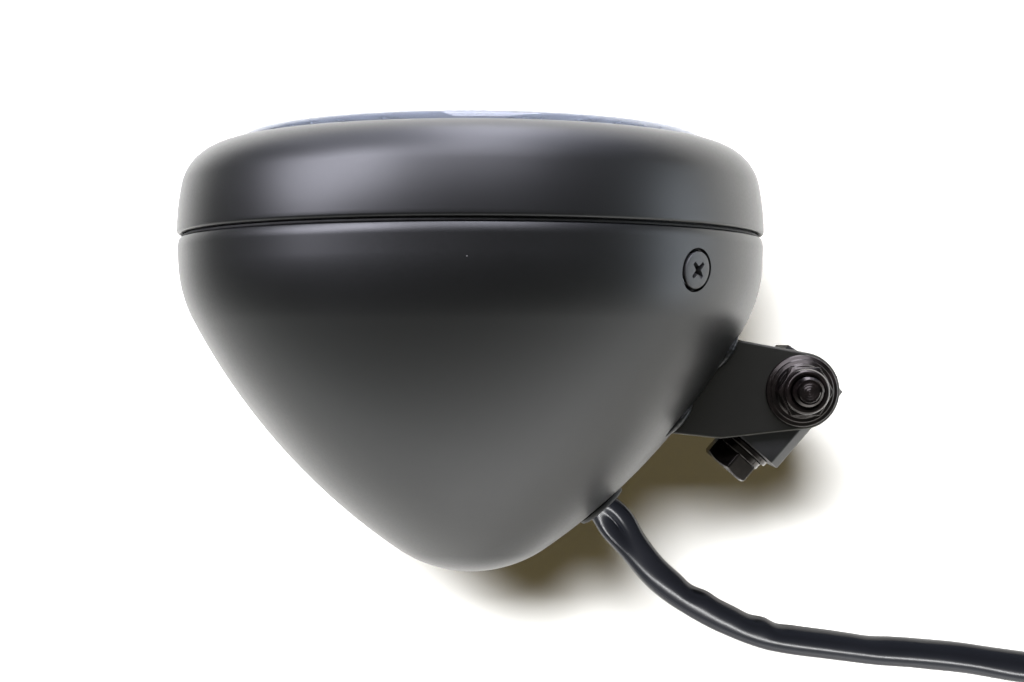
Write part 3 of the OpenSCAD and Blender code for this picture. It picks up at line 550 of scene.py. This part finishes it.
# The lead: sleeve and wires
def from_hole(route, step):
    """A smooth line along a route that is measured from the cable hole."""
    return smooth_line([CABLE_HOLE + Vector(p) for p in route], step)


def sleeve_reach(s, angle):
    """The vinyl sleeve's half-width: crushed flat at its mouth, folded where it bends."""
    mouth = exp(-((s - 13) / 5.5) ** 2)
    squash = 0.05 + 0.3 * mouth + 0.05 * sin(s / 19)
    reach = 4.1 * (1 + 0.8 * squash * cos(2 * (angle - 0.3 * sin(s / 31))))
    # The side that faces forward is pushed in at the mouth, and the dent runs out along it
    facing = max(0.0, sin(angle - 0.25)) ** 3
    reach -= facing * (1.7 * mouth + 0.5 * exp(-((s - 22) / 8) ** 2))
    # Folds on the inside of the bend, each a short step across the sleeve
    inner = max(0.0, cos(angle - 0.3)) ** 2
    for place, width, fall in ((41, 3.2, 0.65), (46.5, 2.8, -0.35), (60, 3, 0.35),
                               (65, 2.6, -0.42), (69.5, 3, 0.5), (96, 4, 0.25), (128, 6, 0.2)):
        reach -= fall * inner * exp(-((s - place) / width) ** 2)
    # A long crease where the flattened sleeve has set, and slow unevenness all over
    off = remainder(angle - 4.4 - 0.3 * sin(s / 27), tau)
    reach += 0.2 * exp(-(off / 0.3) ** 2) * exp(-((s - 40) / 60) ** 2)
    uneven = noise.noise(Vector((cos(angle), sin(angle), s / 14)))
    return reach + 0.16 * uneven


def make_sleeve():
    line = from_hole(SLEEVE, 0.6)
    rings = tube_rings(line, 56, sleeve_reach)
    centre = line[-1]
    # The cut end turns in and runs back a little, as the end of a hollow sleeve does
    cut_end, upwards = rings[-1], (line[-2] - line[-1]).normalized()
    for shrink, back in ((0.93, 0.0), (0.86, 0.4), (0.84, 3.0)):
        rings.append([centre + upwards * back + (p - centre) * shrink for p in cut_end])
    piece = joined("vinyl_sleeve", stack(rings))
    dress(piece, "vinyl_black", "cable_sleeve")
    return piece, line


def make_wire(index):
    line = from_hole(WIRES[index], 1.0)
    rings = tube_rings(line, 18, lambda s, a: WIRE_R)
    slot = ("wire_white", "wire_blue", "wire_black")[index]
    piece = joined("lead_wire_" + ("left", "right", "back")[index], stack(rings))
    dress(piece, slot, f"lead_wire_{index + 1}")
    return piece, line


def terminal_at(end):
    """A crimped bullet below a wire's end, and its clear cover."""
    at = shift(end) @ turned(180, "X")
    pin = spun([(0, 0.05), (1.45, 0.05), (1.55, 0.5), (1.55, 2.2), (1.25, 2.6), (1.25, 4.4),
                (1.55, 4.8), (1.55, 7.6), (2.1, 8), (2.3, 8.2), (2.3, 8.8), (1.95, 9.1),
                (1.95, 13.6), (1.7, 14.0), (1.7, 14.7), (1.95, 15.1), (1.95, 16.8),
                (1.6, 17.7), (0.9, 18.15), (0, 18.2)], at, 40)
    cover = spun([(2.42, 8.0), (2.05, 8.0), (1.75, 7.6), (1.7, -4.6), (2.05, -5.0), (2.15, -4.7),
                  (2.1, -2), (2.3, 1), (2.42, 4), (2.42, 8.0)], at, 40)
    return pin, cover


sleeve, sleeve_line = make_sleeve()
wires = [make_wire(i) for i in range(3)]
ends = [terminal_at(line[-1]) for wire, line in wires]
terminals = dress(joined("bullet_terminals", *[pin for pin, cover in ends]), "brass",
                  "lead_terminals", crease=40)
covers = dress(joined("clear_terminal_covers", *[cover for pin, cover in ends]),
               "cover_plastic", "terminal_covers")


# Bowl and trim ring
def arc(start, radius, first, end, way, n):
    """[radius, along, slope] points of an arc; way is 1 when it runs back and -1 forward."""
    middle = (start[0] - radius * cos(radians(first)),
              start[1] - way * radius * sin(radians(first)))
    slopes = [first + (end - first) * i / n for i in range(n + 1)]
    return [(middle[0] + radius * cos(radians(a)),
             middle[1] + way * radius * sin(radians(a)), a) for a in slopes]


def offset(run, depth, way):
    """A run moved inwards along its normals."""
    return [(p[0] - depth * cos(radians(p[2])),
             p[1] - way * depth * sin(radians(p[2]))) for p in run]


# The straight rim's draft, and where the rolled lip ends
DRAFT, LIP_END = radians(RIM_SLOPE), 3.3


def bowl_run():
    """The bowl's outside: a straight rim, then the arcs of its shoulder, flank and tip."""
    rim_long, shoulder_radius, flank_radius = 7, 36.8, 178.5
    rim = [(SHELL_R - rim_long * i / 4 * sin(DRAFT),
            SEAM + rim_long * i / 4 * cos(DRAFT), RIM_SLOPE) for i in range(5)]
    shoulder = arc(rim[-1], shoulder_radius, RIM_SLOPE, SHOULDER_SLOPE, 1, 16)
    flank = arc(shoulder[-1], flank_radius, SHOULDER_SLOPE, FLANK_SLOPE, 1, 30)
    tip_radius = flank[-1][0] / cos(radians(FLANK_SLOPE))
    tip = arc(flank[-1], tip_radius, FLANK_SLOPE, 90, 1, 34)
    return rim + shoulder[1:] + flank[1:] + tip[1:]


BOWL_RUN = bowl_run()
BOWL_Y = [p[1] for p in BOWL_RUN]


def bowl_radius(y):
    return float(np.interp(y, BOWL_Y, [p[0] for p in BOWL_RUN]))


def bowl_slope(y):
    """How far the bowl's outside leans in, in degrees."""
    return float(np.interp(y, BOWL_Y, [p[2] for p in BOWL_RUN]))


def at_screw(side):
    """The place of a side screw on the bowl, local Z outwards."""
    return (turned(-side * SCREW_TURN, "Y") @ shift((0, SCREW_BACK, -bowl_radius(SCREW_BACK)))
            @ turned(180 + bowl_slope(SCREW_BACK), "X"))


def box_mesh(low, high):
    x0, y0, z0 = low
    x1, y1, z1 = high
    return stack([[(x0, y0, z), (x1, y0, z), (x1, y1, z), (x0, y1, z)] for z in (z0, z1)])


def true_normals(piece):
    """Gives the bowl's outside the exact normals of its curve, so that no cut disturbs it."""
    mesh = piece.data
    back, near, facing = TO_ROW.inverted(), 0.04, 0.97
    normals = [(0.0, 0.0, 0.0)] * len(mesh.loops)
    for face in mesh.polygons:
        for k in face.loop_indices:
            p = back @ mesh.vertices[mesh.loops[k].vertex_index].co
            r = hypot(p.x, p.z)
            if p.y > LIP_END + 0.2 and r > 0.5 and abs(r - bowl_radius(p.y)) < near:
                a = radians(bowl_slope(p.y))
                n = Vector((p.x / r * cos(a), sin(a), p.z / r * cos(a)))
                if n.dot(face.normal) > facing:
                    normals[k] = tuple(n)
    mesh.normals_split_custom_set(normals)


def make_bowl():
    # The rim rolls in softly towards the seam, then turns over a small edge
    roll, edge, lean = 6.0, 0.35, radians(22)
    middle = (bowl_radius(LIP_END) - roll * cos(DRAFT), LIP_END - roll * sin(DRAFT))
    corner = (middle[0] + (roll - edge) * cos(lean),
              middle[1] - (roll - edge) * sin(lean))
    lip = [(corner[0] + edge * cos(a), corner[1] + edge * sin(a))
           for a in np.linspace(-pi / 2, -lean, 6)]
    lip += [(middle[0] + roll * cos(a), middle[1] + roll * sin(a))
            for a in np.linspace(-lean, DRAFT, 13)[1:]]
    outside = [(r, y) for r, y, a in BOWL_RUN if y > LIP_END + 0.3]
    inside = [p for p in offset(BOWL_RUN[::4] + BOWL_RUN[-1:], SHELL_WALL, 1) if p[1] > 5.4]
    # Between inside and lip, the spigot that the ring slides over
    profile = ([(0, BOWL_Y[-1] - SHELL_WALL)] + [p for p in inside[::-1] if p[0] > 0.5]
               + [(77, 4.9), (77, -4.6), (77.4, -5), (78.6, -5), (79, -4.6), (79, lip[0][1])]
               + lip + [p for p in outside if p[0] > 0.05] + [(0, BOWL_Y[-1])])
    piece = joined("headlight_bowl", spun(profile, LAMP, 288))
    holes, gap = [], 0.25
    half = (EAR_OUT - EAR_IN) / 2 + gap
    for side in (-1, 1):
        slot = side * (EAR_IN + EAR_OUT) / 2
        holes.append(box_mesh((slot - half, ROOT_FRONT - gap, -86),
                              (slot + half, ROOT_BACK + gap, -52)))
        holes.append(spun([(0, -8), (2.8, -8), (2.8, -3.6), (3.3, -3.5), (5.0, -1.8),
                           (5.35, -1.6), (5.45, -0.5), (5.62, -0.15), (6.0, 0.04), (6.6, 0.6),
                           (0, 0.6)], at_screw(side), 72))
    holes.append(rod(5.6, -7, 6, CABLE, 64))
    cut(piece, *holes)
    dress(piece, "satin_black", "shell", crease=28)
    true_normals(piece)


def make_ring():
    side_slope, corner_slope = 11.4, 73.5
    side = arc((RING_R, -SEAM), 66.5, -0.5, side_slope, -1, 16)
    corner = arc(side[-1], 13.6, side_slope, corner_slope, -1, 26)
    lip = arc(corner[-1], 9, corner_slope, 90, -1, 6)
    run = side + corner[1:] + lip[1:]
    # The mouth turns in round a small edge; the hem is rounded where it meets the seam
    front, edge, hem = run[-1][1], 0.7, 1.0
    turn_in = [(RING_MOUTH + edge - edge * sin(a), front + edge - edge * cos(a))
               for a in (radians(d) for d in range(0, 91, 18))]
    rim = [(RING_R - hem + hem * sin(a), -SEAM - hem + hem * cos(a))
           for a in (radians(d) for d in range(0, 91, 15))]
    inside = [p for p in offset(run, RING_WALL, -1) if p[0] > RING_MOUTH + edge]
    outside = [(r, y) for r, y, a in run if y < -SEAM - hem and r > RING_MOUTH + edge + 0.1]
    profile = rim + outside + turn_in + [(RING_MOUTH, front + RING_WALL)] + inside[::-1]
    dress(joined("spun_trim_ring", spun(profile + profile[:1], LAMP, 320)), "satin_black",
          "trim_ring", crease=40)


def make_seal():
    section = [(79.05, -0.45), (79.7, -0.45), (80.0, -0.25), (80.1, 0), (80.0, 0.25),
               (79.7, 0.45), (79.05, 0.45), (79.05, -0.45)]
    dress(joined("ring_seal", spun(section, LAMP, 256)), "rubber", "seam_seal")


make_bowl()
make_ring()
make_seal()


# Lens, mirror and bulb
def make_lens():
    def dome(r, depth=0.0):
        radius = LENS_DOME - depth
        return LENS_CREST + LENS_DOME - sqrt(radius * radius - r * r)

    # The dome ends in a round edge; top is where it starts
    edge = 3.0
    top = (LENS_EDGE - edge) / (1 - edge / LENS_DOME)
    slope = asin(top / LENS_DOME)
    outer = [(top * i / 26, dome(top * i / 26)) for i in range(27)]
    middle = (LENS_EDGE - edge, dome(top) + edge * cos(slope))
    bend = [(middle[0] + edge * sin(a), middle[1] - edge * cos(a))
            for a in (slope + (pi / 2 - slope) * i / 8 for i in range(1, 9))]
    reach = LENS_EDGE - LENS_WALL
    back = [(reach * i / 86, dome(reach * i / 86, LENS_WALL)) for i in range(86, -1, -1)]
    profile = (outer + bend + [(LENS_EDGE, -21.9), (67.1, FLANGE_FRONT), (FLANGE, FLANGE_FRONT),
                               (FLANGE, LENS_BACK), (reach, LENS_BACK)] + back)
    pressed = run_tree(spun(profile, Matrix(), 420), PRESS, **{
        "Flute": 4.6, "Block": 4.2, "Depth": 0.2, "Reach": reach - 1.5, "Crest": LENS_CREST,
        "Dome": float(LENS_DOME), "Half wall": LENS_WALL / 2})
    pressed.transform(LAMP)
    return dress(joined("fluted_lens", pressed), "lens_glass", "lens", crease=50)


def make_mirror():
    bowl, neck, wall = 65.0, 19.0, 1.2
    front = LENS_BACK + 0.05
    dish = [(bowl + (neck - bowl) * i / 60,
             VERTEX - (bowl + (neck - bowl) * i / 60) ** 2 / (4 * FOCUS)) for i in range(61)]
    shell = [(r + wall * sin(atan(r / (2 * FOCUS))),
              y + wall * cos(atan(r / (2 * FOCUS)))) for r, y in dish[::-4]]
    shell = [p for p in shell if p[1] > front + wall + 0.3 and p[0] > neck + wall]
    profile = ([(FLANGE, front + wall), (FLANGE, front), (bowl + 0.6, front),
                (bowl, front + 0.5)] + dish
               + [(neck, NECK_BACK), (neck + 4, NECK_BACK), (neck + 4, NECK_BACK - wall),
                  (neck + wall, NECK_BACK - wall)] + shell
               + [(shell[-1][0] + 0.4, front + wall), (FLANGE, front + wall)])
    return dress(joined("plated_mirror_bowl", spun(profile, LAMP, 256)), "reflector_silver",
                 "reflector", crease=40)


def make_bulb():
    r, wall, foot, nose = 8.5, 0.9, NECK_BACK - 2, NECK_BACK - 36
    tip = nose + r

    def skin(radius):
        return [(radius * cos(a), tip - radius * sin(a))
                for a in (radians(d) for d in np.linspace(0, 90, 13))]

    glass = spun([(0, foot), (r - 1.4, foot), (r, foot - 1.4)] + skin(r)
                 + [(0, nose + wall)] + skin(r - wall)[-2::-1]
                 + [(r - wall, foot - 2), (0, foot - 2)], LAMP, 72)
    dress(joined("bulb_envelope", glass), "bulb_glass", "bulb_glass")
    cap = spun(skin(r + 0.06)[2:] + skin(r + 0.02)[:1:-1] + skin(r + 0.06)[2:3], LAMP, 72)
    dress(joined("bulb_tip_coat", cap), "black_screw")
    filaments, rise = [], 4.8
    for y, side in ((nose + 11.5, 1.2), (nose + 21.5, 0)):
        at = shift((0, y, side)) @ LAMP
        filaments.append(coil(0.75, rise, 9, 0.17, 8, at))
        for end in (0, rise):
            post = smooth_line([(0, y + end, side + 0.75), (0, y + end + 0.8, side + 3),
                                (0, y + end + 3, side + 4.2), (0, foot - 2.5, side + 4.2)], 0.6)
            filaments.append(stack(tube_rings(post, 10, lambda s, a: 0.28)))
    dress(joined("bulb_filaments", *filaments), "zinc_steel")
    scoop = spun([(3.4, 0), (3.4, 8), (3.1, 8.4), (3.1, 0.4), (0, 0.4), (0, 0), (3.4, 0)],
                 shift((0, nose + 9.5, 1.2)) @ LAMP, 32, pi)
    dress(joined("bulb_glare_shield", scoop), "zinc_steel")


lens, mirror = make_lens(), make_mirror()
make_bulb()


# Bracket, block and fasteners
def drop_at(y, x=EAR_OUT):
    """How far below the axis the bowl's outside is, at a distance to the side."""
    return sqrt(bowl_radius(y) ** 2 - x * x)


def tangent_angle(p, side):
    """Where round the ear's end a line from p touches it."""
    gap = Vector(p) - Vector((PIVOT.y, PIVOT.z))
    return atan2(gap.y, gap.x) + side * acos(EAR_END / gap.length)


def ear_outline():
    front = (ROOT_FRONT, -drop_at(ROOT_FRONT))
    back = (ROOT_BACK, -drop_at(ROOT_BACK))
    heel = (ROOT_BACK + 1.5, -drop_at(ROOT_BACK) - 14)
    a, b = tangent_angle(front, 1), tangent_angle(heel, -1)
    while b < a:
        b += tau
    end = [(PIVOT.y + EAR_END * cos(t), PIVOT.z + EAR_END * sin(t))
           for t in np.linspace(a, b, 40)]
    return ([(ROOT_FRONT, front[1] + 5.6), front] + end
            + [heel, back, (ROOT_BACK, back[1] + 5.6)])


def make_bracket():
    outline = ear_outline()
    ears = [stack([[(side * x, y, z) for y, z in outline] for x in (EAR_IN, EAR_OUT)])
            for side in (-1, 1)]
    # The web is a curved plate under the bowl's skin, of m rows of n points
    n, m, web_top, web_bottom = 24, 12, 2.1, 6.0
    rows = [[(x, y) for x in np.linspace(-EAR_OUT, EAR_OUT, n)]
            for y in np.linspace(ROOT_FRONT + 1, ROOT_BACK - 1, m)]

    def skin(depth):
        return [(x, y, -sqrt((bowl_radius(y) - depth) ** 2 - x * x))
                for row in rows for x, y in row]

    web = [(i * n + j, i * n + j + 1, (i + 1) * n + j + 1, (i + 1) * n + j)
           for i in range(m - 1) for j in range(n - 1)]
    under = [tuple(k + n * m for k in f[::-1]) for f in web]
    rim = ([j for j in range(n)] + [i * n + n - 1 for i in range(1, m)]
           + [(m - 1) * n + j for j in range(n - 2, -1, -1)]
           + [i * n for i in range(m - 2, 0, -1)])
    sides = [(a, b, b + n * m, a + n * m) for a, b in zip(rim, rim[1:] + rim[:1])]
    plate = tidy(mesh_of(skin(web_top) + skin(web_bottom), web + under + sides))
    piece = joined("bracket_plate", *ears, plate)
    cut(piece, rod(BOLT_HOLE, -30, 30, beside_pivot(0, 90)))
    soften(piece, 0.7, segments=3)
    dress(piece, "bracket_black", "mounting_bracket", flat=True)


def make_welds():
    """A leaf-shaped fillet with fine ripples at each end of the ears' roots."""
    beads, x, half_width, height, count = [], EAR_OUT + 0.9, 2.0, 1.45, 48
    ripple_depth, ripple_turn = 0.022, 50
    for side in (-1, 1):
        for y0, y1 in ((ROOT_FRONT - 1.0, ROOT_FRONT + 7.8), (ROOT_BACK - 8.0, ROOT_BACK + 1.0)):
            rings = []
            for i in range(count + 1):
                t = i / count
                y = y0 + (y1 - y0) * t
                swell = max(0.04, sin(pi * t) ** 0.75)
                ripple = 1 + ripple_depth * sin(t * ripple_turn) * swell
                r = bowl_radius(y)
                middle = Vector((side * x, y, -drop_at(y, x)))
                along = Vector((side * drop_at(y, x) / r, 0, x / r))
                up = Vector((side * x / r, 0.3, -drop_at(y, x) / r)).normalized()
                rings.append([middle + ripple * swell * (half_width * cos(a) * along
                                                         + height * sin(a) * up)
                              for a in (tau * k / 24 for k in range(24))])
            beads.append(stack(rings))
    dress(joined("bracket_welds", *beads), "satin_black", crease=50)


def make_block():
    c, w, h = 2.6, BLOCK_WIDTH / 2, BLOCK_HEIGHT / 2  # c is the chamfer
    section = [(-w + c, -h), (w - c, -h), (w, -h + c), (w, h - c), (w - c, h), (-w + c, h),
               (-w, h - c), (-w, -h + c)]
    body = stack([[(x, y, z) for x, z in section] for y in (-BLOCK_NEAR, SEAT_LEN)])
    body.transform(BLOCK)
    piece = joined("mount_block_body", body)
    cut(piece, rod(BLOCK_BORE, -30, 30, beside_pivot(0, 90)),
        rod(SEAT_BORE, 6, 30, ALONG_BLOCK))
    soften(piece, 0.4)
    dress(piece, "block_black", "mount_block", flat=True, body="mount")


def washer(outer, thick, at, start):
    """A washer with broken edges, that starts at a distance along an axis."""
    inner, e = BOLT_HOLE, 0.25
    return spun([(inner, start), (outer - e, start), (outer, start + e),
                 (outer, start + thick - e), (outer - e, start + thick),
                 (inner + e, start + thick), (inner, start + thick - e), (inner, start)], at, 72)


def bolt_head(name, at, along, node, body):
    head = joined(name, hexagon(HEAD_HEIGHT, 0.01, at @ shift((0, 0, along))))
    soften(head, 0.25)
    dress(head, "black_steel", node, body=body, flat=True)


def make_pivot_fasteners():
    nut_side = beside_pivot(-EAR_OUT, -90)
    head_side = beside_pivot(EAR_OUT, 90)
    flange = spun([(NUT_BORE, 0.05), (9.5, 0.05), (9.8, 0.35), (9.8, 0.75), (9.55, 1.05),
                   (8.6, 1.3), (8.4, 1.55), (7.4, 1.85), (6.9, 2.7), (NUT_BORE, 2.7),
                   (NUT_BORE, 0.05)], nut_side, 96)
    nut = hexagon(7.1, NUT_BORE, nut_side)
    collar = spun([(4.4, 2), (6.2, 2), (6.2, 7.8), (6.05, 8.6), (5.7, 9.25), (5.3, 9.5),
                   (4.8, 9.4), (4.4, 9.0), (4.4, 2)], nut_side, 96)
    piece = joined("flange_lock_nut", flange, nut, collar)
    soften(piece, 0.18)
    dress(piece, "black_steel", "pivot_nut", flat=True)
    # The bolt's end keeps the fine rings of the lathe
    end = [(0.34 * i, -12.5 + 0.03 * i + (0.11 if i % 2 else 0)) for i in range(8)]
    along = beside_pivot(-EAR_OUT, 90)
    shank = spun(end + [(2.75, -12.2), (3.35, -11.2), (3.42, 3.5), (3.95, 4.2), (3.95, 37.5),
                        (0, 37.5)], along, 64)
    thread = coil(3.38, 15.0, 12, 0.6, 4, shift((-12.0, 0, 0)) @ along)
    dress(joined("pivot_bolt_shank", shank, thread), "black_steel", "pivot_bolt")
    bolt_head("pivot_bolt_head", head_side, 1.7, "pivot_bolt", "lamp")
    dress(joined("pivot_flat_washer", washer(WASHER_R, WASHER_THICK, head_side, 0.05)),
          "black_steel", "pivot_washer")


def make_mount_fasteners():
    at = ALONG_BLOCK
    bolt_head("mount_bolt_head", at, 23.75, "mount_bolt", "mount")
    shank = spun([(0, 8), (3.2, 8), (3.45, 8.6), (3.45, 20), (3.95, 21), (3.95, 23.8),
                  (0, 23.8)], at, 64)
    thread = coil(3.38, 11.2, 9, 0.6, 4, at @ shift((0, 0, 8.6)))
    dress(joined("mount_bolt_shank", shank, thread), "black_steel", "mount_bolt", body="mount")
    dress(joined("mount_plain_washer", washer(WASHER_R, WASHER_THICK, at, 20.05)),
          "black_steel", "mount_flat_washer", body="mount")
    lock = joined("mount_split_washer", washer(7.4, 2.0, at, 21.7))
    # The split runs aslant across the washer
    gap = box_mesh((2.5, -0.35, -3), (9, 0.35, 3))
    gap.transform(at @ shift((0, 0, 22.7)) @ turned(25, "X"))
    cut(lock, gap)
    dress(lock, "black_steel", "mount_spring_washer", body="mount")


def make_side_screws():
    outline = [(0, -12.3), (2.1, -12.3), (2.5, -11.8), (2.5, -3.1), (4.4, -1.2), (4.62, -0.8),
               (4.62, -0.1), (4.5, 0.08), (4.1, 0.19), (3, 0.28), (1.5, 0.32), (0, 0.33)]
    piece = joined("countersunk_side_screws",
                   *[spun(outline, at_screw(side), 72) for side in (-1, 1)])
    # The cross recess narrows as it goes down, and its arms narrow outwards
    for side in (-1, 1):
        rings = []
        for z, size in ((0.8, 1.0), (-0.1, 0.94), (-1.9, 0.42)):
            ring = []
            for k in range(4):
                a = radians(45 + 90 * k)
                u, v = Vector((cos(a), sin(a))), Vector((-sin(a), cos(a)))
                for x, y in ((0.85, -0.72), (2.65, -0.5), (2.65, 0.5), (0.85, 0.72)):
                    p = (u * x + v * y) * size
                    ring.append((p.x, p.y, z))
            rings.append(ring)
        recess = stack(rings[::-1])
        recess.transform(at_screw(side))
        cut(piece, recess)
    dress(piece, "black_screw", "side_screws", crease=30)


def make_grommet():
    flange = [(4.35, -5.6), (6.2, -5.6), (6.8, -4.8), (6.8, -2.9), (6.5, -2.3), (5.5, -2.1),
              (5.5, 0.1), (7.1, -0.4), (7.5, -0.1), (7.5, 0.5), (7.25, 0.95), (6.6, 1.2),
              (5.6, 1.35), (5.0, 1.35), (4.55, 1.15), (4.35, 0.6), (4.35, -5.6)]
    dress(joined("rubber_grommet", spun(flange, CABLE, 72)), "rubber", "cable_grommet",
          crease=50)


make_bracket()
make_welds()
make_block()
make_pivot_fasteners()
make_mount_fasteners()
make_side_screws()
make_grommet()

# The pieces inside the bowl keep their CAD shape and get their finish
HIDDEN = {
    "zinc_steel": ("retaining_ring", "unit_clips", "bulb_base", "bulb_clip", "screw_tabs",
                   "top_hook"),
    "rubber": ("lens_gasket", "dust_boot"), "brass": ("bulb_blades",),
    "connector_plastic": ("bulb_connector",), "wire_white": ("harness_wire_1",),
    "wire_blue": ("harness_wire_2",), "wire_black": ("harness_wire_3",),
}
for slot, names in HIDDEN.items():
    for name in names:
        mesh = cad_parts[name].data
        mesh.materials.clear()
        mesh.materials.append(MATERIALS[slot])


# Table, lights and finish
def make_table():
    """A pale table behind the lamp as the camera sees it; from behind it doesn't show."""
    depth = 0.0832
    material, tree, shader = new_material("pale_table_top")
    shader.inputs["Roughness"].default_value = 0.9
    place = add(tree, "ShaderNodeTexCoord").outputs["Object"]
    tone = colours(tree, cloud(tree, place, 0.3), (0.3, (0.037, 0.037, 0.0365)),
                   (0.7, (0.0395, 0.0395, 0.039)))
    # Past the view's lower and left edges the table's colour holds a painted shade: it is darker
    # there, as the bowl's reflection shows it
    far = add(tree, "ShaderNodeVectorMath", {0: place, 1: (depth, 0.19, -0.01)},
              operation="DISTANCE").outputs["Value"]
    leftwards = add(tree, "ShaderNodeSeparateXYZ", {0: place}).outputs[2]
    shade = maths(tree, "MULTIPLY", between(tree, far, 0.07, 0.12, 0.3, 1.0),
                  between(tree, leftwards, 0.235, 0.29, 1.0, 0.25))
    shaded = add(tree, "ShaderNodeVectorMath", {0: tone, "Scale": shade}, operation="SCALE")
    tree.links.new(shaded.outputs[0], shader.inputs["Base Color"])
    underside = add(tree, "ShaderNodeNewGeometry").outputs["Backfacing"]
    through = val(tree, "ShaderNodeBsdfTransparent")
    mix = add(tree, "ShaderNodeMixShader", {0: underside, 1: shader.outputs[0], 2: through})
    tree.links.new(mix.outputs[0], tree.nodes["Material Output"].inputs["Surface"])
    top, bottom, left, right = -0.5, 0.75, 0.34, -0.75
    mesh = mesh_of([(depth, top, right), (depth, top, left), (depth, bottom, left),
                    (depth, bottom, right)], [(0, 1, 2, 3)])
    mesh.materials.append(material)
    table = in_scene("pale_table", mesh)
    return table


def lit_group(name, state, *things):
    """What a light falls on: some things alone, or everything but those things."""
    group = bpy.data.collections.new(name)
    for thing in things:
        group.objects.link(thing)
    for item in group.collection_objects:
        item.light_linking.link_state = state
    return group


def light(name, place, across, down, glow, onto, colour=(1, 1, 1), aim=(0, -0.02, 0.06)):
    """A soft panel of a brightness of its own, aimed at a point; across is along Z."""
    data = bpy.data.lights.new(name, "AREA")
    data.shape, data.size, data.size_y = "RECTANGLE", down, across
    data.energy, data.color = glow * pi * across * down, colour
    panel = in_scene(name, data)
    panel.location = place
    panel.rotation_euler = (Vector(aim) - Vector(place)).to_track_quat("-Z", "Y").to_euler()
    panel.light_linking.receiver_collection = onto


def make_world():
    """White behind the lamp; round it a dim room that brightens down and to the right."""
    world = bpy.data.worlds.new("studio")
    bpy.context.scene.world = world
    world.use_nodes = True
    tree = world.node_tree
    tree.nodes.clear()
    way = add(tree, "ShaderNodeTexCoord").outputs["Generated"]
    low = add(tree, "ShaderNodeVectorMath", {0: way, 1: (0.6, 0.73, -0.16)},
              operation="DOT_PRODUCT").outputs["Value"]
    # Each stop has its place from -1 to 1, its level, and its red and blue against green
    glow = colours(tree, between(tree, low, -1, 1, 0, 1), *[
        ((place + 1) / 2, (red * level, level, blue * level)) for place, level, red, blue in
        ((0.0, 0.028, 0.96, 0.94), (0.22, 0.045, 0.96, 0.94), (0.42, 0.15, 0.97, 0.96),
         (0.62, 0.5, 0.98, 0.99), (0.82, 0.88, 1, 1))])
    # Straight up, towards the lens, the ceiling is a pale blue-white
    height = add(tree, "ShaderNodeSeparateXYZ", {0: way}).outputs[1]
    ceiling = colours(tree, between(tree, height, -0.5, -1, 0, 1),
                      (0.0, (0, 0, 0)), (1.0, (0.12, 0.135, 0.185)))
    both = add(tree, "ShaderNodeMix", {0: 1.0, 6: glow, 7: ceiling}, data_type="RGBA",
               blend_type="ADD").outputs[2]
    room = add(tree, "ShaderNodeBackground", {"Color": both, "Strength": 4.8})
    pale = add(tree, "ShaderNodeBackground", {"Color": (1, 1, 1, 1), "Strength": 1.0})
    seen = add(tree, "ShaderNodeLightPath").outputs["Is Camera Ray"]
    mix = add(tree, "ShaderNodeMixShader", {0: seen, 1: room.outputs[0], 2: pale.outputs[0]})
    out = tree.nodes.new("ShaderNodeOutputWorld")
    tree.links.new(mix.outputs[0], out.inputs["Surface"])


table = make_table()
on_table = lit_group("table_alone", "INCLUDE", table)
on_hard_parts = lit_group("all_but_four", "EXCLUDE", table, sleeve, lens, mirror)
on_lens_too = lit_group("all_but_three", "EXCLUDE", table, sleeve, mirror)
on_sleeve = lit_group("sleeve_alone", "INCLUDE", sleeve)
make_world()
COOL, WARM, TABLE_SPOT = (0.94, 0.94, 1.08), (1, 0.77, 0.32), (0.083, 0.02, 0.04)
light("upper_left_softbox", (-0.7, -0.55, 1.0), 0.9, 0.6, 13, on_hard_parts, COOL)
light("lens_side_softbox", (-0.15, -1.1, 0.0), 0.4, 1.3, 7.5, on_lens_too, COOL)
light("ceiling_panel", (-0.2, -1.5, 0.25), 2.2, 1.8, 1.5, on_hard_parts, COOL)
light("upper_front_panel", (-1.0, -0.9, 0.25), 1.5, 0.7, 6.0, on_hard_parts, COOL)
light("right_side_panel", (-0.08, 0.0, -1.1), 0.5, 1.0, 3.4, on_hard_parts, (0.88, 0.97, 1.08))
light("table_key", (-1.35, -0.47, 0.36), 0.7, 0.36, 1390, on_table, aim=TABLE_SPOT)
light("table_fill", (-1.2, 0.6, -0.9), 1.0, 1.0, 19, on_table, WARM, TABLE_SPOT)
light("sleeve_strip", (-0.55, 0.5, -0.1), 1.2, 0.07, 75, on_sleeve, aim=(0, 0, -0.1))
bpy.context.scene.view_settings.view_transform = "Standard"
